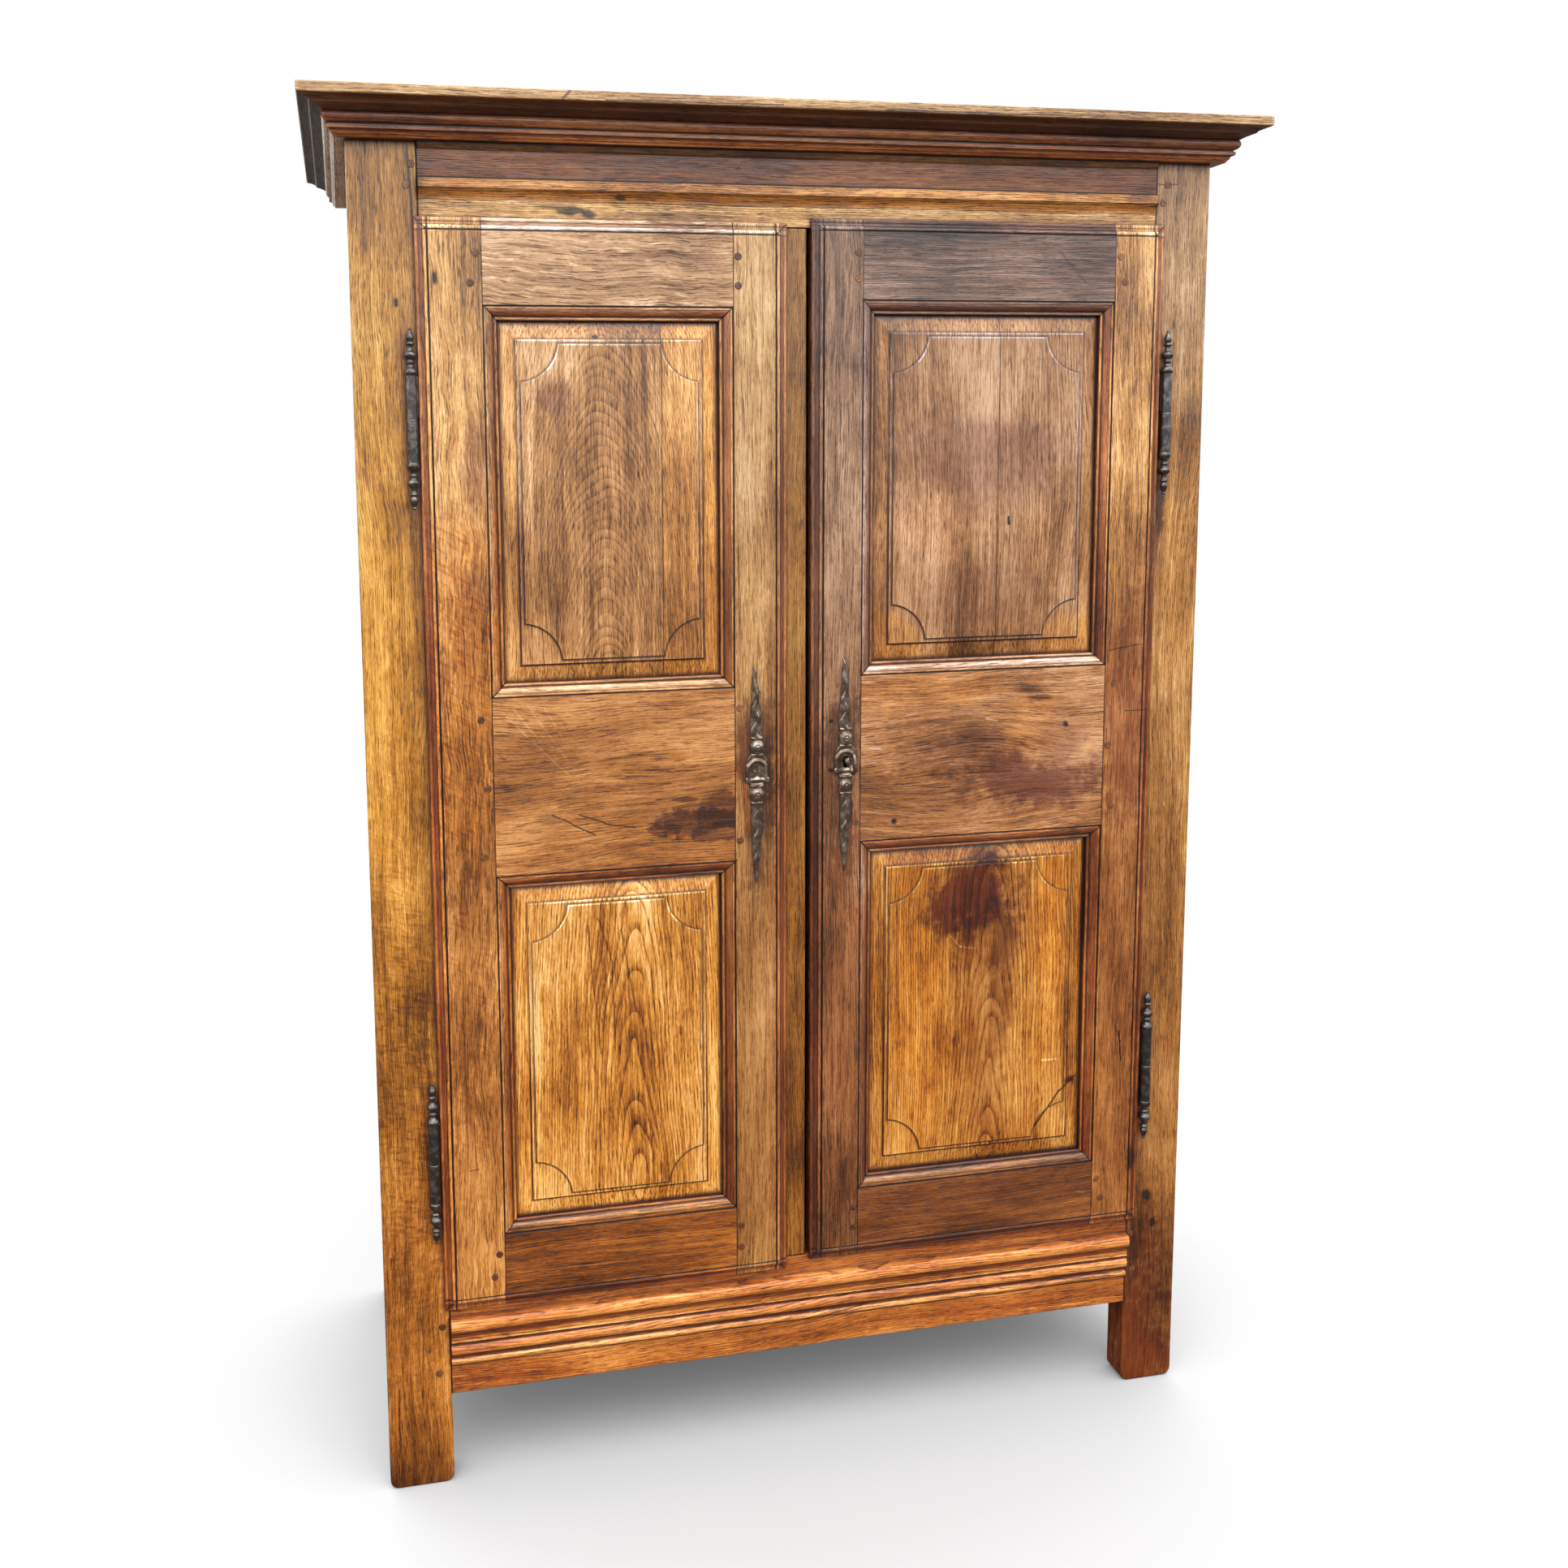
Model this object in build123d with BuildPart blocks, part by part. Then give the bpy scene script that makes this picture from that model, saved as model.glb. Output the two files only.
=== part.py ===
from build123d import *
import os

# A French provincial oak armoire: a pegged carcass, two framed doors on lift-off hinges, a lock
# with its key on the right door and two sliding bolts on the left one.

os.makedirs("parts", exist_ok=True)

# ---------------------------------------------------------------- driving dimensions (millimetres)
# X runs to the right, Y into the cabinet and Z up. The origin is at the middle of the whole
# object's footprint, on the floor.
CARCASS_WIDTH = 1300.0
CARCASS_DEPTH = 524.0
CORNICE_UNDERSIDE = 1980.0
CORNICE_HEIGHT = 59.0
OVERHANG = 61.0

LEFT_POST_WIDTH = 96.0
RIGHT_POST_WIDTH = 90.0
POST_DEPTH = 45.0
FOOT_RADIUS = 13.0
POST_CHAMFER = 2.0
BACK_POST_WIDTH = 70.0
BACK_INSET = 5.0
BACK_RAIL_FRONT = 43.0
BACK_BOARD_DEPTHS = (20.0, 8.0)
BACK_REBATE = 14.0
BACK_TENON_DEPTHS = (30.0, 18.0)
BACK_TOP_RAIL_BOTTOM = 1880.0

OPENING_BOTTOM = 296.0
OPENING_TOP = 1875.0
APRON_BOTTOM = 142.0
FRONT_RAIL_THICKNESS = POST_DEPTH

DOOR_PROUD = 12.0
DOOR_THICKNESS = 28.0
LIP_WIDTH = 18.0
LIP_THICKNESS = 11.5
MOULDING_WIDTH = 20.0
EDGE_CLEARANCE = 2.0

TENON_LENGTH = 40.0
TENON_THICKNESS = 10.0
TENON_SHOULDER = 12.0
GROOVE_DEPTH = 9.0
GROOVE_START = 14.0
GROOVE_WIDTH = 6.2
PANEL_TONGUE = 8.0
BEVEL_WIDTH = 26.0
PANEL_STEP = 1.5
FIELD_INSET = 6.0
CORNER_RADIUS = 60.0
PEG_RADIUS = 5.0
PEG_PROUD = 0.8
PEG_DEPTH = 22.0
PEG_INSET = 30.0

HINGE_RADIUS = 7.8
HINGE_BEHIND = 9.5
HINGE_BESIDE = 10.0
PIN_RADIUS = 4.0
PIN_CLEARANCE = 0.05
PIN_LENGTH = 42.0
BARREL_HALF = 60.0
FINIAL_LENGTH = 65.2
HINGE_GAP = 0.4
LEAF_THICKNESS = 2.4
LEAF_HEIGHT = 56.0
LEAF_LENGTH = 34.0
LEAF_GAP = 3.0
LEAF_POST_REACH = 30.0
LEAF_DOOR_DEPTH = 5.2

SIDE_THICKNESS = 28.0
SIDE_TOP_RAIL = 140.0
SIDE_BOTTOM_TOP = 300.0
CORNICE_BACKING = 30.0
CORNICE_BED_SHORT = 22.0
BOARD_THICKNESS = 18.0
BOARD_GAP = 1.0
BOARD_EASE = 1.0
BACK_BOARD_COUNT = 8
FLAT_BOARD_COUNT = 3
SHELF_HEIGHTS = (800.0, 1345.0)
SHELF_THICKNESS = 22.0
SHELF_FRONT = 60.0
SHELF_GAP = 2.0
SHELF_EDGE_RADIUS = 4.0
FLOOR_TOP = 290.0
CLEAT_WIDTH = 20.0
CLEAT_HEIGHT = 30.0

LEFT = -CARCASS_WIDTH / 2
RIGHT = CARCASS_WIDTH / 2
FRONT = OVERHANG - (CARCASS_DEPTH + OVERHANG) / 2
BACK = FRONT + CARCASS_DEPTH
DOOR_FACE = FRONT - DOOR_PROUD
TOP = CORNICE_UNDERSIDE + CORNICE_HEIGHT
OPENING_LEFT = LEFT + LEFT_POST_WIDTH
OPENING_RIGHT = RIGHT - RIGHT_POST_WIDTH


class Door:
    """The lines that lay out one door, all measured on its face."""

    def __init__(self, outer, inner_outer, inner_meeting, meeting, rails, lip_side):
        self.outer = outer                  # lip edge on the hinge side
        self.inner_outer = inner_outer      # where the hinge stile's flat meets the rails
        self.inner_meeting = inner_meeting  # where the meeting stile's flat meets the rails
        self.meeting = meeting              # lip edge where the doors meet
        self.rails = rails                  # (low, high) line of each rail's flat, bottom to top
        self.side = lip_side                # +1 where the hinge side is to the left

    @property
    def bottom(self):
        return self.rails[0][0] - LIP_WIDTH

    @property
    def top(self):
        return self.rails[2][1] + LIP_WIDTH

    @property
    def openings(self):
        """Low and high edge of the lower and the upper panel opening, inside the mouldings."""
        pairs = zip(self.rails[:-1], self.rails[1:])
        return [(low[1] + MOULDING_WIDTH, high[0] - MOULDING_WIDTH) for low, high in pairs]

    @property
    def hinge_x(self):
        return self.outer - self.side * HINGE_BESIDE

    @property
    def rail_ends(self):
        return sorted((self.inner_outer, self.inner_meeting))


LEFT_DOOR = Door(-561.0, -470.0, -109.0, -28.0, [(299, 394), (945, 1207), (1760, 1861)], 1)
RIGHT_DOOR = Door(571.0, 489.0, 87.0, 10.0, [(309, 402), (962, 1217), (1772, 1869)], -1)
STRIP_WIDTH = 33.0

# Middle height of each hinge, where its two halves meet.
LEFT_HINGES = (516.0, 1603.5)
RIGHT_HINGES = (556.0, 1605.0)
HINGES = [(LEFT_DOOR, z) for z in LEFT_HINGES] + [(RIGHT_DOOR, z) for z in RIGHT_HINGES]

# Escutcheons: the middle of each keyhole.
LEFT_KEYHOLE = (-76.0, 1083.0)
RIGHT_KEYHOLE = (63.0, 1090.0)
ESCUTCHEON_THICKNESS = 2.5
KEYHOLE_RADIUS = 5.0
KEYHOLE_SLOT = 5.0
KEYHOLE_DROP = 17.0
NAIL_OFFSETS = (34.0, -39.0)
NAIL_HEAD_RADIUS = 10.5
NAIL_SHANK_RADIUS = 1.8
NAIL_LENGTH = 18.0

# Lock, key and bolts, all behind the doors' back faces.
DOOR_BACK = DOOR_FACE + DOOR_THICKNESS
LOCK_WIDTH = 84.0
LOCK_HEIGHT = 112.0
LOCK_DEPTH = 22.0
LOCK_WALL = 2.0
LOCK_LEFT = 16.0
BOLT_DEPTH = 10.0
BOLT_HEIGHT = 26.0
BOLT_BEHIND = 4.0
BOLT_LIFT = 17.0
BOLT_TIP = 14.0
BOLT_LENGTH = 66.0
BOLT_TRAVEL = 14.0
SLIDE_CLEARANCE = 0.6
KEY_RADIUS = 3.2
KEY_BIT = 14.0
KEY_BIT_THICKNESS = 3.0
KEY_BIT_WIDTH = 11.0
KEY_REACH = 34.0
BOW_HEIGHT = 34.0
BOW_DEPTH = 23.0
BOW_RIM = 5.0
BOW_THICKNESS = 4.5
BOW_FRONT = 56.0
STRIKE_WIDTH = 35.0
STRIKE_HEIGHT = 44.0
STRIKE_WALL = 3.0
DOOR_BOLT_X = -68.0
DOOR_BOLT_WIDTH = 12.0
DOOR_BOLT_THICKNESS = 5.0
DOOR_BOLT_LENGTH = 176.0
DOOR_BOLT_TRAVEL = 15.0
DOOR_BOLT_BEHIND = 1.8
DOOR_BOLT_END_GAP = 7.0
KEEPER_DEPTH = 25.0
PLATE_WIDTH = 34.0
PLATE_LENGTH = 120.0
PLATE_THICKNESS = 1.5
STAPLE_HEIGHT = 12.0
STAPLE_WALL = 3.0
KNOB_RADIUS = 7.0
KNOB_LENGTH = 14.0


# ---------------------------------------------------------------- helpers
def save(builder, label):
    """Label a finished piece and write it."""
    builder.part.label = label
    export_step(builder.part, f"parts/{label}.step")


def front_plane(x, y, z):
    """A plane that faces the room: local x is X, local y is Z, and extruding comes forward."""
    return Plane(origin=(x, y, z), x_dir=(1, 0, 0), z_dir=(0, -1, 0))


def block(low, high, mode=Mode.ADD):
    """A box between two opposite corners."""
    size = [b - a for a, b in zip(low, high)]
    centre = tuple((a + b) / 2 for a, b in zip(low, high))
    with Locations(centre):
        Box(*size, mode=mode)


def lip_edge(place):
    """Outer edge of a door: fillet, hollow, bead and quirk. Place maps (inwards, depth)."""
    back = LIP_THICKNESS
    Polyline(place(0, back), place(0, 6.5))
    ThreePointArc(place(0, 6.5), place(0.6, 5.1), place(2, 4.5))
    Line(place(2, 4.5), place(4.5, 4.5))
    ThreePointArc(place(4.5, 4.5), place(9.2, 3.9), place(11, 1.4))
    Line(place(11, 1.4), place(11.8, 1.2))
    ThreePointArc(place(11.8, 1.2), place(14, 0.3), place(16.4, 1.0))
    Polyline(place(16.4, 1.0), place(16.6, 2.0), place(LIP_WIDTH, 2.0), place(LIP_WIDTH, 0))


def panel_edge(place):
    """Moulding and panel groove on an inner edge. Place maps (outwards from the flat, depth)."""
    width = MOULDING_WIDTH
    floor = width - GROOVE_DEPTH
    groove_end = GROOVE_START + GROOVE_WIDTH
    Polyline(place(0, 0), place(0, 1.8), place(1.4, 1.8), place(1.4, 0.7), place(4.8, 0.7),
             place(4.8, 1.6))
    ThreePointArc(place(4.8, 1.6), place(10.8, 2.6), place(14.2, 6.4))
    Polyline(place(14.2, 6.4), place(14.8, 7.4), place(15.6, 7.4))
    ThreePointArc(place(15.6, 7.4), place(17.8, 6.4), place(width, 8.6))
    Polyline(place(width, 8.6), place(width, GROOVE_START), place(floor, GROOVE_START),
             place(floor, groove_end), place(width, groove_end), place(width, DOOR_THICKNESS))


def stile_plan(door, lip_x, flat_x, step):
    """Plan section of a door stile with its lip at lip_x and its panel edge beyond flat_x."""
    rebate = abs(rebate_width(door, lip_x))

    def from_lip(u, v):
        return (lip_x + step * u, DOOR_FACE + v)

    def from_flat(u, v):
        return (flat_x + step * u, DOOR_FACE + v)

    with BuildLine() as outline:
        Polyline(from_lip(rebate, DOOR_THICKNESS), from_lip(rebate, LIP_THICKNESS),
                 from_lip(0, LIP_THICKNESS))
        lip_edge(from_lip)
        Line(from_lip(LIP_WIDTH, 0), from_flat(0, 0))
        panel_edge(from_flat)
        Line(from_flat(MOULDING_WIDTH, DOOR_THICKNESS), from_lip(rebate, DOOR_THICKNESS))
    make_face(outline.line.edges())


def rebate_width(door, lip_x):
    """How far the lip covers the carcass, with room to clear it; a meeting edge has a small one."""
    if lip_x != door.outer:
        return EDGE_CLEARANCE
    jamb = OPENING_LEFT if door.side > 0 else OPENING_RIGHT
    return jamb + door.side * EDGE_CLEARANCE - lip_x


def height_outline(door):
    """Side view of a whole stile: square at the back, with the lip at its head and foot."""
    back_low = OPENING_BOTTOM + EDGE_CLEARANCE
    back_high = OPENING_TOP - EDGE_CLEARANCE
    back = DOOR_FACE + DOOR_THICKNESS
    lip_back = DOOR_FACE + LIP_THICKNESS

    def foot(u, v):
        return (DOOR_FACE + v, door.bottom + u)

    def head(u, v):
        return (DOOR_FACE + v, door.top - u)

    with BuildLine() as outline:
        Polyline(foot(0, LIP_THICKNESS), (lip_back, back_low), (back, back_low), (back, back_high),
                 (lip_back, back_high), head(0, LIP_THICKNESS))
        lip_edge(head)
        Line(head(LIP_WIDTH, 0), foot(LIP_WIDTH, 0))
        lip_edge(foot)
    make_face(outline.line.edges())


def tenon_box(low, high, start, end):
    """Corners of the tenon of a door rail whose flat runs from low to high."""
    y_low = DOOR_FACE + GROOVE_START - 3
    first, last = sorted((start, end))
    return ((first, y_low, low + TENON_SHOULDER),
            (last, y_low + TENON_THICKNESS, high - TENON_SHOULDER))


def peg_spots(door, flat_x, step):
    """Where pegs pin the rails' tenons in one stile; by the hinges the middle rail has three."""
    spots = []
    by_hinges = flat_x == door.inner_outer
    sways = (16.0, 8.0, 16.0) if by_hinges else (7.0, 7.0, 7.0)
    for index, (low, high) in enumerate(door.rails):
        count = 3 if index == 1 and by_hinges else 2
        pitch = (high - low - 2 * PEG_INSET) / (count - 1)
        for number in range(count):
            spots.append((flat_x - step * sways[number], low + PEG_INSET + number * pitch))
    return spots


def peg_holes(spots, face, depth):
    """Bore round holes straight back from a face."""
    for x, z in spots:
        with BuildSketch(front_plane(x, face + depth, z)) as hole:
            Circle(PEG_RADIUS)
        extrude(hole.sketch, amount=depth, mode=Mode.SUBTRACT)


def pegs(label, groups):
    """All the pegs of one body as separate solids; groups holds (spots, face)."""
    with BuildPart() as peg_set:
        for spots, face in groups:
            for x, z in spots:
                with BuildSketch(front_plane(x, face + PEG_DEPTH, z)):
                    Circle(PEG_RADIUS)
                extrude(amount=PEG_DEPTH + PEG_PROUD)
    save(peg_set, label)


def door_stile(label, door, lip_x, flat_x, extra_cut=None):
    """One stile: plan section cut to the side view, then cut back for rails, tenons and pegs."""
    step = 1 if flat_x > lip_x else -1
    inner_x = flat_x + step * MOULDING_WIDTH
    with BuildPart() as stile:
        with BuildSketch(Plane.XY.offset(door.bottom)):
            stile_plan(door, lip_x, flat_x, step)
        extrude(amount=door.top - door.bottom)
        with BuildSketch(Plane.YZ.offset(min(lip_x, inner_x) - 1)):
            height_outline(door)
        extrude(amount=abs(inner_x - lip_x) + 2, mode=Mode.INTERSECT)
        for index, (low, high) in enumerate(door.rails):
            under = low if index > 0 else door.bottom - MOULDING_WIDTH
            over = high if index < 2 else door.top + MOULDING_WIDTH
            slope_low = MOULDING_WIDTH if index > 0 else 0
            slope_high = MOULDING_WIDTH if index < 2 else 0
            with BuildSketch(front_plane(0, DOOR_BACK, 0)):
                with BuildLine():
                    Polyline((flat_x, under), (inner_x, under - slope_low),
                             (inner_x, over + slope_high), (flat_x, over), close=True)
                make_face()
            extrude(amount=DOOR_THICKNESS, mode=Mode.SUBTRACT)
            block(*tenon_box(low, high, flat_x - step * TENON_LENGTH, flat_x), mode=Mode.SUBTRACT)
        peg_holes(peg_spots(door, flat_x, step), DOOR_FACE, PEG_DEPTH)
        if extra_cut:
            extra_cut()
    save(stile, label)


def door_rail(label, door, index, extra_cut=None):
    """One rail: its section run between the stiles, mitred at each moulding, with two tenons."""
    low, high = door.rails[index]
    start, end = door.rail_ends
    back_low = OPENING_BOTTOM + EDGE_CLEARANCE
    back_high = OPENING_TOP - EDGE_CLEARANCE

    def up(u, v):
        return (DOOR_FACE + v, high + u)

    def down(u, v):
        return (DOOR_FACE + v, low - u)

    def head(u, v):
        return (DOOR_FACE + v, door.top - u)

    def foot(u, v):
        return (DOOR_FACE + v, door.bottom + u)

    with BuildPart() as rail:
        with BuildSketch(Plane.YZ.offset(start)):
            with BuildLine():
                if index < 2:
                    panel_edge(up)
                    top_back = up(MOULDING_WIDTH, DOOR_THICKNESS)
                else:
                    lip_edge(head)
                    top_back = (DOOR_BACK, back_high)
                    Polyline(head(0, LIP_THICKNESS), head(door.top - back_high, LIP_THICKNESS),
                             top_back)
                if index > 0:
                    panel_edge(down)
                    low_back = down(MOULDING_WIDTH, DOOR_THICKNESS)
                else:
                    lip_edge(foot)
                    low_back = (DOOR_BACK, back_low)
                    Polyline(foot(0, LIP_THICKNESS), foot(back_low - door.bottom, LIP_THICKNESS),
                             low_back)
                Line((DOOR_FACE, low), (DOOR_FACE, high))
                Line(low_back, top_back)
            make_face()
        extrude(amount=end - start)
        for x, step in ((start, 1), (end, -1)):
            for z, rise, moulded in ((high, 1, index < 2), (low, -1, index > 0)):
                if not moulded:
                    continue
                tip = z + rise * MOULDING_WIDTH
                with BuildSketch(front_plane(0, DOOR_BACK, 0)):
                    with BuildLine():
                        Polyline((x, z), (x, tip), (x + step * MOULDING_WIDTH, tip), close=True)
                    make_face()
                extrude(amount=DOOR_THICKNESS, mode=Mode.SUBTRACT)
            block(*tenon_box(low, high, x - step * TENON_LENGTH, x))
            peg_holes(peg_spots(door, x, step), DOOR_FACE, PEG_DEPTH)
        if extra_cut:
            extra_cut()
    save(rail, label)


def door_panel(label, door, index):
    """A fielded panel: tongue, bevel, a low step and a field with hollow round corners."""
    low, high = door.openings[index]
    start, end = door.rail_ends
    width = end - start - 2 * MOULDING_WIDTH
    height = high - low
    x = (start + end) / 2
    z = (low + high) / 2
    slack = 0.1
    tongue_front = DOOR_FACE + GROOVE_START + slack
    tongue_back = tongue_front + GROOVE_WIDTH - 2 * slack
    step_base = tongue_front - 4.6
    raised_width = width - 2 * BEVEL_WIDTH
    raised_height = height - 2 * BEVEL_WIDTH
    with BuildPart() as panel:
        with BuildSketch(front_plane(x, tongue_back, z)):
            Rectangle(width + 2 * PANEL_TONGUE, height + 2 * PANEL_TONGUE)
        extrude(amount=tongue_back - tongue_front)
        with BuildSketch(front_plane(x, tongue_front, z)):
            Rectangle(width - 2 * slack, height - 2 * slack)
        with BuildSketch(front_plane(x, step_base, z)):
            Rectangle(raised_width, raised_height)
        loft()
        with BuildSketch(front_plane(x, step_base, z)):
            Rectangle(raised_width, raised_height)
        extrude(amount=PANEL_STEP)
        with BuildSketch(front_plane(x, step_base - PANEL_STEP, z)):
            Rectangle(raised_width - 2 * FIELD_INSET, raised_height - 2 * FIELD_INSET)
            with GridLocations(raised_width, raised_height, 2, 2):
                Circle(CORNER_RADIUS, mode=Mode.SUBTRACT)
        extrude(amount=PANEL_STEP)
    save(panel, label)


# ---------------------------------------------------------------- carcass
TOP_TENON = (CORNICE_UNDERSIDE - 90, CORNICE_UNDERSIDE - 15)
BOTTOM_TENON = (APRON_BOTTOM + 20, OPENING_BOTTOM - 16)
FRONT_TENON_DEPTH = (10.0, 22.0)
SIDE_TENON_LENGTH = 34.0
SIDE_GROOVE = (9.0, 17.0)
SIDE_TENON_FACES = (12.0, 22.0)
SIDE_GROOVE_SPARE = 3.5
CARCASS_PEGS_LEFT = [(-570.0, 1922.0), (-562.0, 1950.0), (-572.0, 178.0), (-566.0, 252.0)]
CARCASS_PEGS_RIGHT = [(572.0, 1921.0), (579.0, 1948.0), (573.0, 198.0), (568.0, 262.0)]


def front_tenons(rail_range, mode):
    """Tenons of a front rail, at both of its ends."""
    y_low = FRONT + FRONT_TENON_DEPTH[0]
    y_high = FRONT + FRONT_TENON_DEPTH[1]
    z_low, z_high = rail_range
    block((OPENING_LEFT - TENON_LENGTH, y_low, z_low), (OPENING_LEFT, y_high, z_high), mode)
    block((OPENING_RIGHT, y_low, z_low), (OPENING_RIGHT + TENON_LENGTH, y_high, z_high), mode)


def side_tenons(side, mode):
    """Tenons of the side rails of one side, at both ends; side is -1 on the left."""
    x_low, x_high = sorted(side * (RIGHT - face) for face in SIDE_TENON_FACES)
    spans = ((FRONT + POST_DEPTH - SIDE_TENON_LENGTH, FRONT + POST_DEPTH),
             (BACK - POST_DEPTH, BACK - POST_DEPTH + SIDE_TENON_LENGTH))
    for y_low, y_high in spans:
        for z_low, z_high in (TOP_TENON, BOTTOM_TENON):
            block((x_low, y_low, z_low), (x_high, y_high, z_high), mode)


def side_panel_box(side):
    """Corners of a side panel with its tongues in the grooves."""
    x_low, x_high = sorted(side * (RIGHT - face) for face in SIDE_GROOVE)
    return ((x_low, FRONT + POST_DEPTH - PANEL_TONGUE, SIDE_BOTTOM_TOP - PANEL_TONGUE),
            (x_high, BACK - POST_DEPTH + PANEL_TONGUE,
             CORNICE_UNDERSIDE - SIDE_TOP_RAIL + PANEL_TONGUE))


def hinge_leaf_slot(door, middle, mode):
    """The plate that fixes a hinge's lower half in the post, or the slot for it."""
    x = door.hinge_x
    z_high = middle - LEAF_GAP
    y_low = FRONT - HINGE_BEHIND + PIN_RADIUS
    block((x - LEAF_THICKNESS / 2, y_low, z_high - LEAF_HEIGHT),
          (x + LEAF_THICKNESS / 2, FRONT + LEAF_POST_REACH, z_high), mode)


def front_post(label, side, width, door, hinges, peg_list):
    """A front post with a rounded foot, mortises, the side panel's groove and hinge slots."""
    x = side * (RIGHT - width / 2)
    with BuildPart() as post:
        with BuildSketch(front_plane(x, FRONT + POST_DEPTH, CORNICE_UNDERSIDE / 2)) as face:
            Rectangle(width, CORNICE_UNDERSIDE)
            fillet(face.vertices().group_by(Axis.Y)[0], FOOT_RADIUS)
        extrude(amount=POST_DEPTH)
        front_edges = post.edges().filter_by(Axis.Z).group_by(Axis.Y)[0]
        chamfer(front_edges, POST_CHAMFER)
        front_tenons(TOP_TENON, Mode.SUBTRACT)
        front_tenons(BOTTOM_TENON, Mode.SUBTRACT)
        side_tenons(side, Mode.SUBTRACT)
        block(*side_panel_box(side), mode=Mode.SUBTRACT)
        for middle in hinges:
            hinge_leaf_slot(door, middle, Mode.SUBTRACT)
        peg_holes(peg_list, FRONT, PEG_DEPTH)
    save(post, label)


def back_post(label, side):
    """A plain back post, set in a little from the front post's outer face."""
    x = side * (RIGHT - BACK_INSET - BACK_POST_WIDTH / 2)
    inner = side * (RIGHT - BACK_INSET - BACK_POST_WIDTH)
    with BuildPart() as post:
        with BuildSketch(front_plane(x, BACK, CORNICE_UNDERSIDE / 2)) as face:
            Rectangle(BACK_POST_WIDTH, CORNICE_UNDERSIDE)
            fillet(face.vertices().group_by(Axis.Y)[0], FOOT_RADIUS)
        extrude(amount=POST_DEPTH)
        chamfer(post.edges().filter_by(Axis.Z).group_by(Axis.Y)[-1], POST_CHAMFER)
        side_tenons(side, Mode.SUBTRACT)
        block(*side_panel_box(side), mode=Mode.SUBTRACT)
        for tenon in (TOP_TENON, BOTTOM_TENON):
            x_low, x_high = sorted((inner, inner + side * TENON_LENGTH))
            block((x_low, BACK - BACK_TENON_DEPTHS[0], tenon[0]),
                  (x_high, BACK - BACK_TENON_DEPTHS[1], tenon[1]), Mode.SUBTRACT)
    save(post, label)


def keeper_hole(z_low, z_high):
    """The socket that takes a door bolt."""
    y_low = DOOR_BACK + DOOR_BOLT_BEHIND - 1
    block((DOOR_BOLT_X - DOOR_BOLT_WIDTH / 2 - 1, y_low, z_low),
          (DOOR_BOLT_X + DOOR_BOLT_WIDTH / 2 + 1, y_low + DOOR_BOLT_THICKNESS + 2, z_high),
          Mode.SUBTRACT)


def front_top_rail():
    """Head rail of the front: a flat band, a hollow and fillet, then a flat frieze and a bead."""
    with BuildPart() as rail:
        with BuildSketch(Plane.YZ.offset(OPENING_LEFT)):
            with BuildLine():
                def at(forward, z):
                    return (FRONT - forward, z)
                Polyline(at(0, OPENING_TOP), at(0, 1903), at(1.2, 1904.5))
                ThreePointArc(at(1.2, 1904.5), at(2.6, 1912), at(7, 1918))
                Polyline(at(7, 1918), at(8, 1918.6), at(8, 1931), at(7, 1932.4), at(0.5, 1933),
                         at(0.5, 1970), at(1.5, 1971))
                ThreePointArc(at(1.5, 1971), at(4.5, 1975.5), at(5, 1980))
                Polyline(at(5, 1980), at(-FRONT_RAIL_THICKNESS, 1980),
                         at(-FRONT_RAIL_THICKNESS, OPENING_TOP), at(0, OPENING_TOP))
            make_face()
        extrude(amount=OPENING_RIGHT - OPENING_LEFT)
        front_tenons(TOP_TENON, Mode.ADD)
        peg_holes(CARCASS_PEGS_LEFT[:2] + CARCASS_PEGS_RIGHT[:2], FRONT, PEG_DEPTH)
        keeper_hole(OPENING_TOP, OPENING_TOP + KEEPER_DEPTH)
    save(rail, "front_top_rail")


def front_bottom_rail():
    """Apron: a flat foot below a stack of beads, hollows and fillets, set back under the doors."""
    with BuildPart() as rail:
        with BuildSketch(Plane.YZ.offset(OPENING_LEFT)):
            with BuildLine():
                def at(forward, z):
                    return (FRONT - forward, z)
                Polyline(at(-FRONT_RAIL_THICKNESS, APRON_BOTTOM), at(-2, APRON_BOTTOM),
                         at(0, APRON_BOTTOM + 2), at(0, 189.5))
                ThreePointArc(at(0, 189.5), at(5.2, 194.6), at(0.6, 200))
                ThreePointArc(at(0.6, 200), at(1.9, 205.2), at(6, 208))
                Line(at(6, 208), at(6.4, 208.4))
                ThreePointArc(at(6.4, 208.4), at(8.2, 215.5), at(5.4, 221.6))
                Polyline(at(5.4, 221.6), at(2.8, 222.4), at(2.8, 227), at(7, 227.6), at(7.4, 235.4))
                ThreePointArc(at(7.4, 235.4), at(8.2, 243), at(12, 247.6))
                Line(at(12, 247.6), at(12.4, 248.4))
                ThreePointArc(at(12.4, 248.4), at(14, 256.4), at(10.8, 264))
                Polyline(at(10.8, 264), at(0, 266), at(0, OPENING_BOTTOM),
                         at(-FRONT_RAIL_THICKNESS, OPENING_BOTTOM),
                         at(-FRONT_RAIL_THICKNESS, APRON_BOTTOM))
            make_face()
        extrude(amount=OPENING_RIGHT - OPENING_LEFT)
        front_tenons(BOTTOM_TENON, Mode.ADD)
        peg_holes(CARCASS_PEGS_LEFT[2:] + CARCASS_PEGS_RIGHT[2:], FRONT, PEG_DEPTH)
        keeper_hole(OPENING_BOTTOM - KEEPER_DEPTH, OPENING_BOTTOM)
    save(rail, "front_bottom_rail")


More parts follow.
